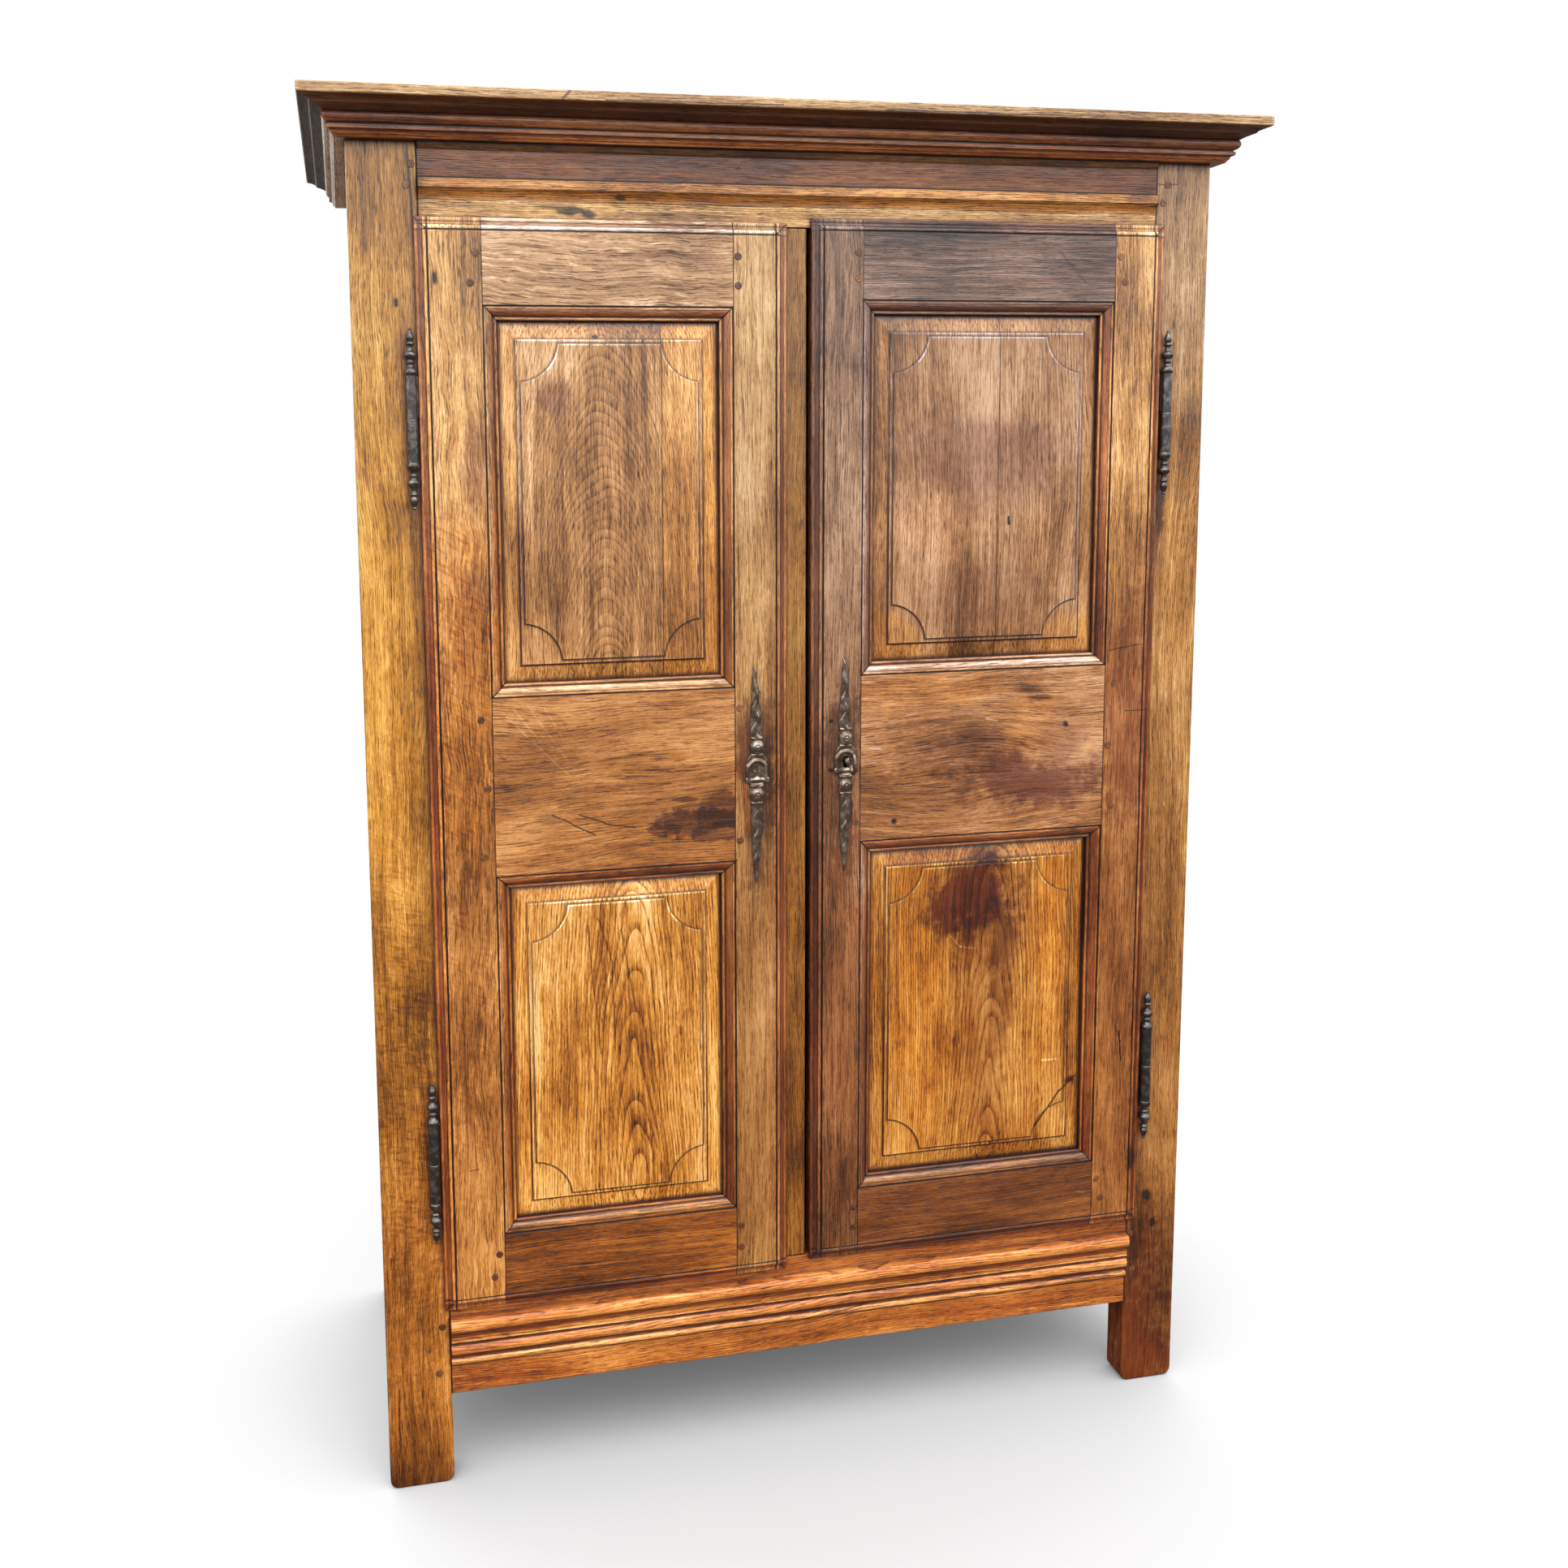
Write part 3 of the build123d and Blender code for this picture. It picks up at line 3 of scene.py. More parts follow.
import bmesh
import bpy
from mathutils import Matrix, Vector


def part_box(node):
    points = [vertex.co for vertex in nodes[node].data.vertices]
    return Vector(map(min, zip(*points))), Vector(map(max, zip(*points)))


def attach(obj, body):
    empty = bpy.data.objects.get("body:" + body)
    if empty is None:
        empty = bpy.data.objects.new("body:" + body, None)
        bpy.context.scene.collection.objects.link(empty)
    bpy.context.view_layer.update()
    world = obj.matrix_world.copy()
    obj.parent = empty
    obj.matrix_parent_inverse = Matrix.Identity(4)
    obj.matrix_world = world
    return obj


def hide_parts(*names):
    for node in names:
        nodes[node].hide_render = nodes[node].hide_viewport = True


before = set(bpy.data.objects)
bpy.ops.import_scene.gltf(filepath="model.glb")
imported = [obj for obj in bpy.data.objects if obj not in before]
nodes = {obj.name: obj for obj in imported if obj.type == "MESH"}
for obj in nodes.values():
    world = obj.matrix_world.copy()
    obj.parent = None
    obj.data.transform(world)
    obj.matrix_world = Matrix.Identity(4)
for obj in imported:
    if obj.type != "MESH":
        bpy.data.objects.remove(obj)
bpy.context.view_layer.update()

# ---------------------------------------- the frame
# Metres, +X to the right, +Y into the cabinet, +Z up. Marks on the wood are placed by x and z.
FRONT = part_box("front_post_left")[0].y
DOOR_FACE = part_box("left_hinge_stile")[0].y
TENON = 0.040  # how far a rail's box runs on behind the stiles or posts
LIP_WIDTH = 0.018
MOULDING_WIDTH = 0.020
TONGUE = 0.008  # a panel's edge, hidden in its groove
BEVEL = 0.026  # from the tongue to the raised field
INSET = 0.006  # between the outer and the inner edge of the field
QUADRANT = 0.060  # the radius of the inner edge's corners
BACK_SKIN = 0.002  # a board has no marks this close to its back, and full marks at twice that
ROW_CONTRAST = 0.34  # how much the boards in one row differ in tone


def tint(code):
    """A linear colour from a six-digit sRGB code."""
    parts = [int(code[i:i + 2], 16) / 255 for i in (0, 2, 4)]
    return tuple(p / 12.92 if p <= 0.04045 else ((p + 0.055) / 1.055) ** 2.4 for p in parts)


def add(name, data):
    """A new object of a mesh, a lamp or a camera, put into the scene."""
    made = bpy.data.objects.new(name, data)
    bpy.context.scene.collection.objects.link(made)
    return made


# ---------------------------------------- writing node trees
class Graph:
    """The node tree of a material or a world, written as short expressions.

    Most methods return an output socket.
    """

    def __init__(self, owner):
        owner.use_nodes = True
        self.owner = owner
        self.tree = owner.node_tree
        self.tree.nodes.clear()

    def put(self, socket, value):
        """Link an output socket to an input, or set the input's own value."""
        if isinstance(value, bpy.types.NodeSocket):
            self.tree.links.new(value, socket)
        elif socket.type == "RGBA":
            socket.default_value = (*value, 1.0)
        else:
            socket.default_value = value

    def node(self, kind, inputs=None, **settings):
        made = self.tree.nodes.new(kind)
        for key, value in settings.items():
            setattr(made, key, value)
        for key, value in (inputs or {}).items():
            self.put(made.inputs[key], value)
        return made

    def math(self, operation, *values, clamp=False):
        made = self.node("ShaderNodeMath", operation=operation, use_clamp=clamp)
        for index, value in enumerate(values):
            self.put(made.inputs[index], value)
        return made.outputs[0]

    def vector(self, operation, *values):
        made = self.node("ShaderNodeVectorMath", operation=operation)
        for index, value in enumerate(values):
            self.put(made.inputs[index], value)
        return made.outputs["Value" if operation in ("DOT_PRODUCT", "LENGTH", "DISTANCE") else "Vector"]

    def place(self):
        return self.node("ShaderNodeTexCoord").outputs["Object"]

    def split(self, vector):
        return self.node("ShaderNodeSeparateXYZ", {0: vector}).outputs[:]

    def join(self, x, y, z):
        return self.node("ShaderNodeCombineXYZ", {0: x, 1: y, 2: z}).outputs[0]

    def noise(self, vector, scale, detail=2.0, roughness=0.5):
        made = self.node("ShaderNodeTexNoise", {"Vector": vector, "Scale": scale, "Detail": detail,
                                                "Roughness": roughness})
        return made.outputs[0]

    def random(self, value):
        return self.node("ShaderNodeTexWhiteNoise", {"W": value}, noise_dimensions="1D").outputs["Value"]

    def smooth(self, value, low, high):
        """0 below low and 1 above high, with an eased step between; low may be the greater."""
        made = self.node("ShaderNodeMapRange", {"Value": value, "From Min": low, "From Max": high},
                         interpolation_type="SMOOTHSTEP")
        return made.outputs[0]

    def mix(self, factor, a, b, blend="MIX"):
        made = self.node("ShaderNodeMix", {0: factor, 6: a, 7: b}, data_type="RGBA", blend_type=blend)
        return made.outputs[2]

    def soiled(self, mask, body, colour):
        """The body multiplied by a colour under a mask."""
        return self.mix(mask, body, self.mix(1.0, body, colour, "MULTIPLY"))

    def ramp(self, factor, stops):
        """Colours at positions from 0 to 1."""
        made = self.node("ShaderNodeValToRGB", {0: factor})
        elements = made.color_ramp.elements
        stops = [(position, (*colour, 1.0)) for position, colour in stops]
        elements[0].position, elements[0].color = stops[0]
        elements[1].position, elements[1].color = stops[-1]
        for position, colour in stops[1:-1]:
            elements.new(position).color = colour
        return made.outputs[0]

    def plus(self, *terms):
        total = terms[0]
        for term in terms[1:]:
            total = self.math("ADD", total, term)
        return total

    def times(self, a, b):
        return self.math("MULTIPLY", a, b)

    def scaled(self, value, by, shift, clamp=False):
        """value * by + shift, held between 0 and 1 if clamp is set."""
        return self.math("MULTIPLY_ADD", value, by, shift, clamp=clamp)

    def hypot(self, a, b):
        return self.math("SQRT", self.plus(self.times(a, a), self.times(b, b)))

    def open_air(self, reach, samples, inside=False):
        """Ambient occlusion: 1 in the open, less in a hollow; inside turns it into a finder of arrises."""
        return self.node("ShaderNodeAmbientOcclusion", {"Distance": reach}, samples=samples,
                         inside=inside).outputs["AO"]

    def rounded(self, radius, samples):
        """The normal as it would be with edges of this radius."""
        return self.node("ShaderNodeBevel", {"Radius": radius}, samples=samples).outputs[0]

    def bump(self, height, strength, distance, normal):
        return self.node("ShaderNodeBump", {"Strength": strength, "Distance": distance, "Height": height,
                                            "Normal": normal}).outputs[0]

    def sway(self, value, amount):
        """A noise value from 0 to 1 turned into a shift from -amount to amount."""
        return self.scaled(value, 2 * amount, -amount)

    def finish(self, **inputs):
        shader = self.node("ShaderNodeBsdfPrincipled")
        for key, value in inputs.items():
            self.put(shader.inputs[key.replace("_", " ")], value)
        self.node("ShaderNodeOutputMaterial", {0: shader.outputs[0]})
        return self.owner


# ---------------------------------------- marks in the wood
# A mark is a function of the graph, x, z, a loose noise and a ragged noise (both from about -1
# to 1). It gives a mask and a colour, and the wood is multiplied by that colour under the mask.
DARK = (0.25, 0.17, 0.13)
BLACK = (0.05, 0.035, 0.03)
BROWN = (0.55, 0.42, 0.34)
PURPLE = (0.50, 0.38, 0.44)
RED = (0.74, 0.47, 0.36)
GOLD = (1.25, 1.12, 0.66)
PALE = (1.35, 1.38, 1.42)
CHALK = (1.5, 2.3, 4.8)
SLATY = (0.80, 0.80, 0.92)
SPILL = (0.34, 0.24, 0.18)
SILVER = (1.30, 1.42, 1.75)
# Noise that makes the marks irregular: shares of a stain's size, or metres.
STAIN_SWAY = 0.35
STAIN_RAGS = 0.24
LINE_RAGS = 0.0008
LINE_SWAY = 0.0012
# The short strokes of curled figure, in waves a metre across and along a board.
STROKE_ACROSS = 48
STROKE_ALONG = 190
# A painted sheen, as the sky's reflection would give, makes the upper part of the piece paler; the lower
# part, without it, is painted warmer.
PAINTED_SHEEN_ABOVE = (1.06, 1.25, 1.50)
WARM_WITHOUT_SHEEN = (1.0, 0.93, 0.76)
SHEEN_LOW = 0.45
SHEEN_HIGH = 1.85


def blot(x, z, wide, high, strength, colour, soft=0.5):
    """A soft ellipse with a ragged edge, used for stains, rubbed patches, painted shadows and painted sheen.
    """
    def mark(g, px, pz, loose, ragged):
        u = g.math("DIVIDE", g.plus(px, g.times(loose, wide * STAIN_SWAY), -x), wide)
        v = g.math("DIVIDE", g.plus(pz, g.times(loose, high * STAIN_SWAY), -z), high)
        away = g.plus(g.hypot(u, v), g.times(ragged, STAIN_RAGS))
        return g.times(g.smooth(away, 1.0 + soft * 0.5, 1.0 - soft), strength), colour
    return mark


def figure(x, z, wide, high, tilt, strength, colour):
    """Curled figure: short wavy strokes across the grain, inside a soft patch."""
    def mark(g, px, pz, loose, ragged):
        u = g.math("DIVIDE", g.plus(px, -x), wide)
        v = g.math("DIVIDE", g.plus(pz, g.times(loose, high * 0.3), -z), high)
        patch = g.smooth(g.hypot(u, v), 1.2, 0.4)
        slant = g.plus(pz, g.times(px, tilt), g.times(loose, 0.004))
        where = g.join(g.times(px, STROKE_ACROSS), g.times(slant, STROKE_ALONG), strength)
        strokes = g.smooth(g.noise(where, 1.0, 2.0, 0.55), 0.50, 0.64)
        return g.times(g.times(strokes, patch), strength), colour
    return mark


def line(x0, z0, x1, z1, width, strength, colour=BLACK):
    """A crack or a scratch: a wavering stroke between two points."""
    run = Vector((x1 - x0, z1 - z0))

    def mark(g, px, pz, loose, ragged):
        u = g.plus(px, g.times(ragged, LINE_RAGS), g.times(loose, LINE_SWAY), -x0)
        v = g.plus(pz, g.times(ragged, LINE_RAGS), -z0)
        share = g.plus(g.times(u, run.x), g.times(v, run.y))
        share = g.math("DIVIDE", share, run.length_squared, clamp=True)
        u = g.scaled(share, -run.x, u)
        v = g.scaled(share, -run.y, v)
        return g.times(g.smooth(g.hypot(u, v), width, width * 0.3), strength), colour
    return mark


def band(axis, low, high, soft, strength, colour):
    """A straight strip across the whole piece, between two values of x or z."""
    def mark(g, px, pz, loose, ragged):
        value = px if axis == "x" else pz
        mask = g.times(g.smooth(value, low - soft, low + soft), g.smooth(value, high + soft, high - soft))
        return g.times(mask, strength), colour
    return mark


def margin(x0, x1, z0, z1, soft, strength, colour):
    """All that lies outside a rectangle."""
    def mark(g, px, pz, loose, ragged):
        inside = g.times(g.times(g.smooth(px, x0 - soft, x0 + soft), g.smooth(px, x1 + soft, x1 - soft)),
                         g.times(g.smooth(pz, z0 - soft, z0 + soft), g.smooth(pz, z1 + soft, z1 - soft)))
        return g.times(g.math("SUBTRACT", 1.0, inside), strength), colour
    return mark


# How rubbing, dirt and painted light colour a moulding: red, green and blue factors at distances in mm.
# The dark stops are painted shadow in the quirks and beside the panel, the pale stops painted highlights
# on fillets and beads; the bright, pale and white profiles are lit from above or carry a painted sheen.
LIP_WEAR_AND_SHADING = ((0, (0.30, 0.16, 0.12)), (0.9, (0.80, 0.55, 0.44)), (3.8, (0.90, 0.62, 0.50)),
       (5.0, (0.36, 0.18, 0.12)), (9.8, (0.62, 0.35, 0.24)), (11.2, (0.14, 0.07, 0.05)),
       (12.4, (1.35, 1.22, 1.08)), (15.4, (1.1, 0.95, 0.8)), (16.0, (0.10, 0.05, 0.04)),
       (18.4, (0.12, 0.06, 0.05)), (19.2, (1, 1, 1)))
BRIGHT_LIP_WEAR_AND_SHADING = ((0, (0.8, 0.7, 0.6)), (0.6, (1.3, 1.5, 2.0)), (4.0, (1.2, 1.4, 1.8)),
              (5.2, (0.50, 0.34, 0.27)), (9.8, (0.85, 0.68, 0.55)), (10.4, (0.35, 0.22, 0.18)),
              (11.2, (1.6, 2.5, 4.8)), (15.8, (1.5, 2.2, 4.0)), (16.6, (0.22, 0.12, 0.10)),
              (18.6, (0.30, 0.18, 0.13)), (19.4, (1, 1, 1)))
COVE_WEAR_AND_SHADING = ((-1.0, (1, 1, 1)), (-0.3, (0.10, 0.05, 0.04)), (2.0, (0.10, 0.05, 0.04)),
        (2.8, (1.25, 1.06, 0.90)), (5.2, (1.15, 0.92, 0.76)), (6.4, (0.66, 0.38, 0.26)),
        (13.2, (0.62, 0.34, 0.21)), (14.8, (0.14, 0.07, 0.05)), (16.4, (1.25, 1.02, 0.80)),
        (19.0, (1.0, 0.76, 0.56)), (20.0, (0.14, 0.07, 0.05)), (21.0, (0.14, 0.07, 0.05)))
PALE_COVE_WEAR_AND_SHADING = ((-1.0, (1, 1, 1)), (-0.3, (0.14, 0.08, 0.06)), (1.9, (0.18, 0.10, 0.08)),
             (2.6, (1.25, 1.5, 2.3)), (6.6, (1.15, 1.3, 1.9)), (8.0, (0.90, 0.74, 0.66)),
             (13.2, (0.66, 0.42, 0.30)), (14.8, (0.18, 0.10, 0.07)), (16.4, (1.30, 1.16, 1.0)),
             (19.0, (1.05, 0.84, 0.66)), (20.0, (0.16, 0.08, 0.06)), (21.0, (0.16, 0.08, 0.06)))
WHITE_COVE_WEAR_AND_SHADING = ((-1.0, (1, 1, 1)), (-0.3, (0.16, 0.09, 0.07)), (1.9, (0.20, 0.12, 0.09)),
              (2.8, (1.3, 1.6, 2.2)), (6.0, (1.1, 1.25, 1.6)), (7.6, (1.5, 2.2, 4.2)),
              (12.6, (1.6, 2.5, 4.8)), (14.0, (0.50, 0.32, 0.25)), (15.4, (0.30, 0.18, 0.13)),
              (16.6, (1.4, 1.8, 2.8)), (19.0, (1.0, 0.95, 0.9)), (20.0, (0.18, 0.10, 0.07)),
              (21.0, (0.18, 0.10, 0.07)))


def moulding(axis, start, direction, profile, strength=1.0):
    """Painted light and shade, with dirt and rubbing, that follow a moulding's profile, from start on, along
    x or z.
    """
    first, last = profile[0][0], profile[-1][0]
    span = last - first
    begin = start + direction * first / 1000

    def mark(g, px, pz, loose, ragged):
        value = px if axis == "x" else pz
        scale = direction * 1000 / span
        away = g.scaled(value, scale, -begin * scale)
        away = g.plus(away, g.times(ragged, 0.25 / span))
        inside = g.times(g.math("GREATER_THAN", away, 0.0), g.math("LESS_THAN", away, 1.0))
        faded = g.scaled(loose, 0.15, 0.95 * strength, clamp=True)
        stops = [((mm - first) / span, factor) for mm, factor in profile]
        return g.times(inside, faded), g.ramp(away, stops)
    return mark


def edge_lines(g, away):
    """The foot and the arris of a raised edge, as masks, from the distance outwards in metres."""
    foot = g.times(g.smooth(away, -0.0008, 0.0002), g.smooth(away, 0.0042, 0.0016))
    arris = g.times(g.smooth(away, -0.0042, -0.0018), g.smooth(away, 0.0006, -0.0004))
    return foot, arris


def fielded(node):
    """Painted light on both edges of a panel's raised field: painted highlights where they face up or right,
    painted shadow at their feet, deepest where they face down, and painted shadow on the bevel next to the
    mouldings.
    """
    low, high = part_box(node)
    middle = (low + high) / 2
    half = (high - low) / 2 - Vector((1, 1, 1)) * (TONGUE + BEVEL)

    def mark(g, px, pz, loose, ragged):
        a = g.plus(g.math("ABSOLUTE", g.plus(px, -middle.x)), -half.x)
        b = g.plus(g.math("ABSOLUTE", g.plus(pz, -middle.z)), -half.z)
        outer = g.math("MAXIMUM", a, b)
        inner = g.math("MAXIMUM", g.plus(outer, INSET), g.math("SUBTRACT", QUADRANT, g.hypot(a, b)))
        rough = g.times(ragged, 0.0003)
        above = g.smooth(pz, middle.z - 0.05, middle.z + 0.05)
        rightward = g.smooth(px, middle.x - 0.01, middle.x + 0.01)
        upright = g.math("GREATER_THAN", a, b)
        outer_foot, outer_arris = edge_lines(g, g.plus(outer, rough))
        inner_foot, inner_arris = edge_lines(g, g.plus(inner, rough))
        foot = g.math("MAXIMUM", outer_foot, g.times(inner_foot, 0.8))
        # Painted highlight: lit picks the arrises that face up, and more weakly those on the right; pale
        # holds the painted highlight.
        lit = g.math("MAXIMUM", g.times(above, g.scaled(upright, -0.5, 1.0)), g.times(rightward, 0.4))
        broken = g.scaled(loose, 0.35, 0.9, clamp=True)
        pale = g.times(g.times(g.math("MAXIMUM", outer_arris, inner_arris), lit), broken)
        # Painted shadow at the feet of the raised edges, deeper where they face down.
        dark = g.times(foot, g.scaled(above, -0.45, 1.0))
        # Painted shadow on the outer bevel next to the mouldings, deeper above.
        shadow_rim = g.times(g.smooth(outer, BEVEL - 0.009, BEVEL - 0.001), g.scaled(above, 0.35, 0.55))
        # The painted shadow's dark red and the painted highlight's pale colour.
        colour = g.mix(pale, (0.16, 0.06, 0.04), (1.6, 2.4, 4.8))
        return g.math("MAXIMUM", g.math("MAXIMUM", pale, dark), shadow_rim), colour
    return mark


# ---------------------------------------- oak
# Four tones of one board, from its pores to its brightest latewood.
HONEY = ("2c1303", "7c4a12", "b87a28", "e6b25c")
AMBER = ("331402", "86450c", "c47c22", "efb95c")
CHESTNUT = ("270f03", "6d3c14", "a4662c", "d59a58")
RUSSET = ("240c03", "6b300f", "a25a22", "d08c4c")
UMBER = ("1a0c05", "4b2812", "7a4a24", "ab7644")
FAWN = ("33190a", "84572a", "b4854c", "dfb67e")
SLATE = ("1e130d", "543a2a", "856248", "b4947a")
DRY = ("2b1e13", "6b5034", "9c7a54", "c6a780")
TONE_STOPS = (0.0, 0.33, 0.62, 1.0)
MEAN_TONE = 0.60
# What rubbing, painted shade in hollows, and dirt with painted shade in the quirks multiply the wood by.
RUBBED = (1.8, 1.85, 1.9)
SHADED = (0.50, 0.32, 0.24)
GRIME_AND_SHADE = (0.15, 0.075, 0.055)


def field(g, vector, per_across, per_along, detail=2.0, roughness=0.55):
    """Noise from about -1 to 1, with so many waves a metre across and along the grain."""
    scaled = g.vector("MULTIPLY", vector, (per_across, per_across, per_along))
    return g.scaled(g.noise(scaled, 1.0, detail, roughness), 5.0, -2.5)


def board_number(g, place, box, row, seed):
    """A random number for each board of a row; row is the axis that it runs along and its count."""
    axis = "xyz".index(row[0])
    width = (box[1][axis] - box[0][axis]) / row[1]
    index = g.math("FLOOR", g.math("DIVIDE", g.plus(place[axis], -box[0][axis]), width))
    return g.random(g.plus(index, seed))


def rub_dirt_and_shade(g, body, ragged):
    """Arrises rubbed pale, painted shade in hollows, and dirt with painted shade in the quirks; gives the
    colour and how dirty and shaded it is.
    """
    arris = g.open_air(0.0035, 5, inside=True)
    worn = g.times(g.smooth(arris, 0.93, 0.62), g.smooth(ragged, -0.5, 0.5))
    body = g.soiled(g.times(worn, 0.6), body, RUBBED)
    # Painted shade: darker wherever other wood stands within 4 cm.
    shade = g.smooth(g.open_air(0.040, 5), 0.90, 0.35)
    body = g.soiled(g.times(shade, 0.55), body, SHADED)
    # Dirt together with painted shade: darkest in tight quirks and joints.
    grime_and_shade = g.times(g.smooth(g.open_air(0.006, 5), 0.93, 0.50), g.scaled(ragged, 0.15, 0.85, clamp=True))
    return g.soiled(grime_and_shade, body, GRIME_AND_SHADE), grime_and_shade


def oak(name, grain, tones, seed, pith, ring=0.0035, lift=0.0, rise=0.0, rings=0.5, rays=0.3,
        curl=0.0, wild=0.0, shift=0.0, gloss=0.34, bleach=1.0, wash=(1, 1, 1), marks=(), box=None, row=None,
        whole=False):
    """Oak cut along grain (x, y or z), as solid rings about a pith, with pores, rays, wear, painted shade
    and sheen, and marks.

    pith is the pith's place across the board and its depth behind the face, at the height rise;
    lift is how fast that depth grows along the board, which draws arches. ring is the width of a
    year's ring. rings and rays are how strongly those show, curl how far the rays swirl and wild how
    far the whole grain wanders, in metres. shift makes the board lighter, and wash multiplies its
    colour. bleach is how far it follows the piece as a whole: a painted sheen makes it paler
    above, and it is painted warmer below. box is the piece's own box: marks stay off its back unless
    whole is set. row, an axis and a count, splits the piece into boards.
    """
    g = Graph(bpy.data.materials.new(name))
    place = g.place()
    x, y, z = g.split(place)
    along, across, depth = {"x": (x, z, y), "y": (y, x, z), "z": (z, x, y)}[grain]
    moved = g.vector("ADD", g.join(across, depth, along), (seed * 1.37, seed * 2.11, seed * 3.53))
    lighter = 0.0
    if row:
        own = board_number(g, (x, y, z), box, row, seed)
        moved = g.vector("ADD", moved, g.join(g.times(own, 7.0), g.times(own, 3.0), g.times(own, 11.0)))
        across = g.plus(across, g.times(own, 0.5))
        lighter = g.times(g.plus(own, -0.5), ROW_CONTRAST)

    # How the grain bends, and the rings of the years with their soft early wood.
    bend = g.times(field(g, moved, 4, 1.6), 0.006 + wild)
    swirl = g.times(field(g, moved, 14, 20, 1.0), 0.0004 + 0.5 * curl)
    bent = g.vector("ADD", moved, g.join(g.plus(bend, swirl), 0.0, 0.0))
    u = g.plus(across, bend, g.times(swirl, 0.5), g.times(field(g, moved, 40, 9), 0.0009), -pith[0])
    v = g.plus(depth, pith[1] - FRONT, g.times(g.plus(along, -rise), lift),
               g.times(field(g, moved, 7, 5), 0.004))
    turns = g.math("DIVIDE", g.hypot(u, v), ring)
    part = g.math("FRACT", turns)
    year = g.random(g.math("FLOOR", turns))
    early = g.times(g.math("POWER", g.math("SUBTRACT", 1.0, part), 3.0), g.scaled(year, 0.9, 0.35))

    # Fine texture: colour threads, pores along the early wood, and the flecks of the rays.
    streak = field(g, bent, 110, 3.0, 3.0)
    thread = field(g, bent, 430, 11, 2.0)
    cloud = field(g, moved, 9, 3.2, 3.0, 0.6)
    speck = field(g, moved, 520, 160, 2.0)
    pore = g.smooth(field(g, bent, 700, 42, 1.0), 0.10, 0.75)
    pore = g.times(pore, g.scaled(early, 0.7, 0.55, clamp=True))
    ray = g.smooth(field(g, bent, 210, 36, 2.0), 0.18, 0.75)
    ray = g.times(ray, g.smooth(field(g, moved, 16, 7, 2.0), -0.45, 0.25))

    tone = g.plus(MEAN_TONE + shift, lighter, g.times(streak, 0.12), g.times(thread, 0.125),
                  g.times(cloud, 0.27), g.times(speck, 0.08), g.times(g.plus(year, -0.5), 0.26 * rings),
                  g.times(early, -0.62 * rings), g.times(pore, -0.43), g.times(ray, 0.36 * rays))
    body = g.ramp(tone, [(position, tint(code)) for position, code in zip(TONE_STOPS, tones)])
    body = g.mix(1.0, body, wash, "MULTIPLY")
    # Painted sheen: paler and greyer towards the top of the piece, warmer towards the bottom.
    if bleach:
        body = g.soiled(bleach, body, g.mix(g.smooth(z, SHEEN_LOW, SHEEN_HIGH), WARM_WITHOUT_SHEEN, PAINTED_SHEEN_ABOVE))

    ragged = field(g, place, 60, 60, 4.0, 0.7)
    loose = field(g, place, 10, 10, 3.0, 0.6)
    for mark in marks:
        mask, colour = mark(g, x, z, loose, ragged)
        if box and not whole:
            mask = g.times(mask, g.smooth(y, box[1].y - BACK_SKIN, box[1].y - 2 * BACK_SKIN))
        body = g.soiled(mask, body, colour)
    body, grime_and_shade = rub_dirt_and_shade(g, body, ragged)

    # The plane left low waves, and the pores and early rings sink.
    height = g.plus(g.times(pore, -0.6), g.times(early, -0.5 * rings), g.times(thread, 0.25),
                    g.times(ray, 0.3 * rays), g.times(speck, 0.12))
    fine = g.bump(height, 0.6, 0.0005, g.rounded(0.0016, 5))
    waved = g.bump(field(g, moved, 22, 11), 0.5, 0.0012, fine)
    rough = g.plus(gloss, g.times(cloud, 0.05), g.times(pore, 0.2), g.times(grime_and_shade, 0.3),
                   g.times(speck, 0.03))
    return g.finish(Base_Color=body, Roughness=rough, Normal=waved, Specular_IOR_Level=0.5,
                    Coat_Weight=0.35, Coat_Roughness=0.25, Coat_IOR=1.45)


def rail_ends(node):
    """Dark joint lines at the shoulders of a rail, where it meets the stiles or posts."""
    low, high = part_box(node)
    hidden, shown = 0.01, 0.0012
    return [band("x", low.x + TENON - hidden, low.x + TENON + shown, 0.0005, 0.92, BLACK),
            band("x", high.x - TENON - shown, high.x - TENON + hidden, 0.0005, 0.92, BLACK)]


def mitre(x, z, run, rise):
    """The dark line of a mitre, from the outer corner of a moulding inwards."""
    return line(x, z, x + run, z + rise, 0.0015, 1.0)


def mitres(left, right, z, rise):
    """Both mitres along one edge of a rail."""
    return [mitre(left, z, MOULDING_WIDTH, rise), mitre(right, z, -MOULDING_WIDTH, rise)]


def rail(node, above, below):
    """A door rail's own marks: its joints, and the mouldings or lips along its two edges."""
    low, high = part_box(node)
    marks = rail_ends(node)
    for profile, edge, inward in ((above, high.z, -1), (below, low.z, 1)):
        if profile in (COVE_WEAR_AND_SHADING, WHITE_COVE_WEAR_AND_SHADING):
            start = edge + inward * MOULDING_WIDTH
            marks += mitres(low.x + TENON, high.x - TENON, start, -inward * MOULDING_WIDTH)
            marks.append(moulding("z", start, -inward, profile))
        else:
            marks.append(moulding("z", edge, inward, profile))
    return marks


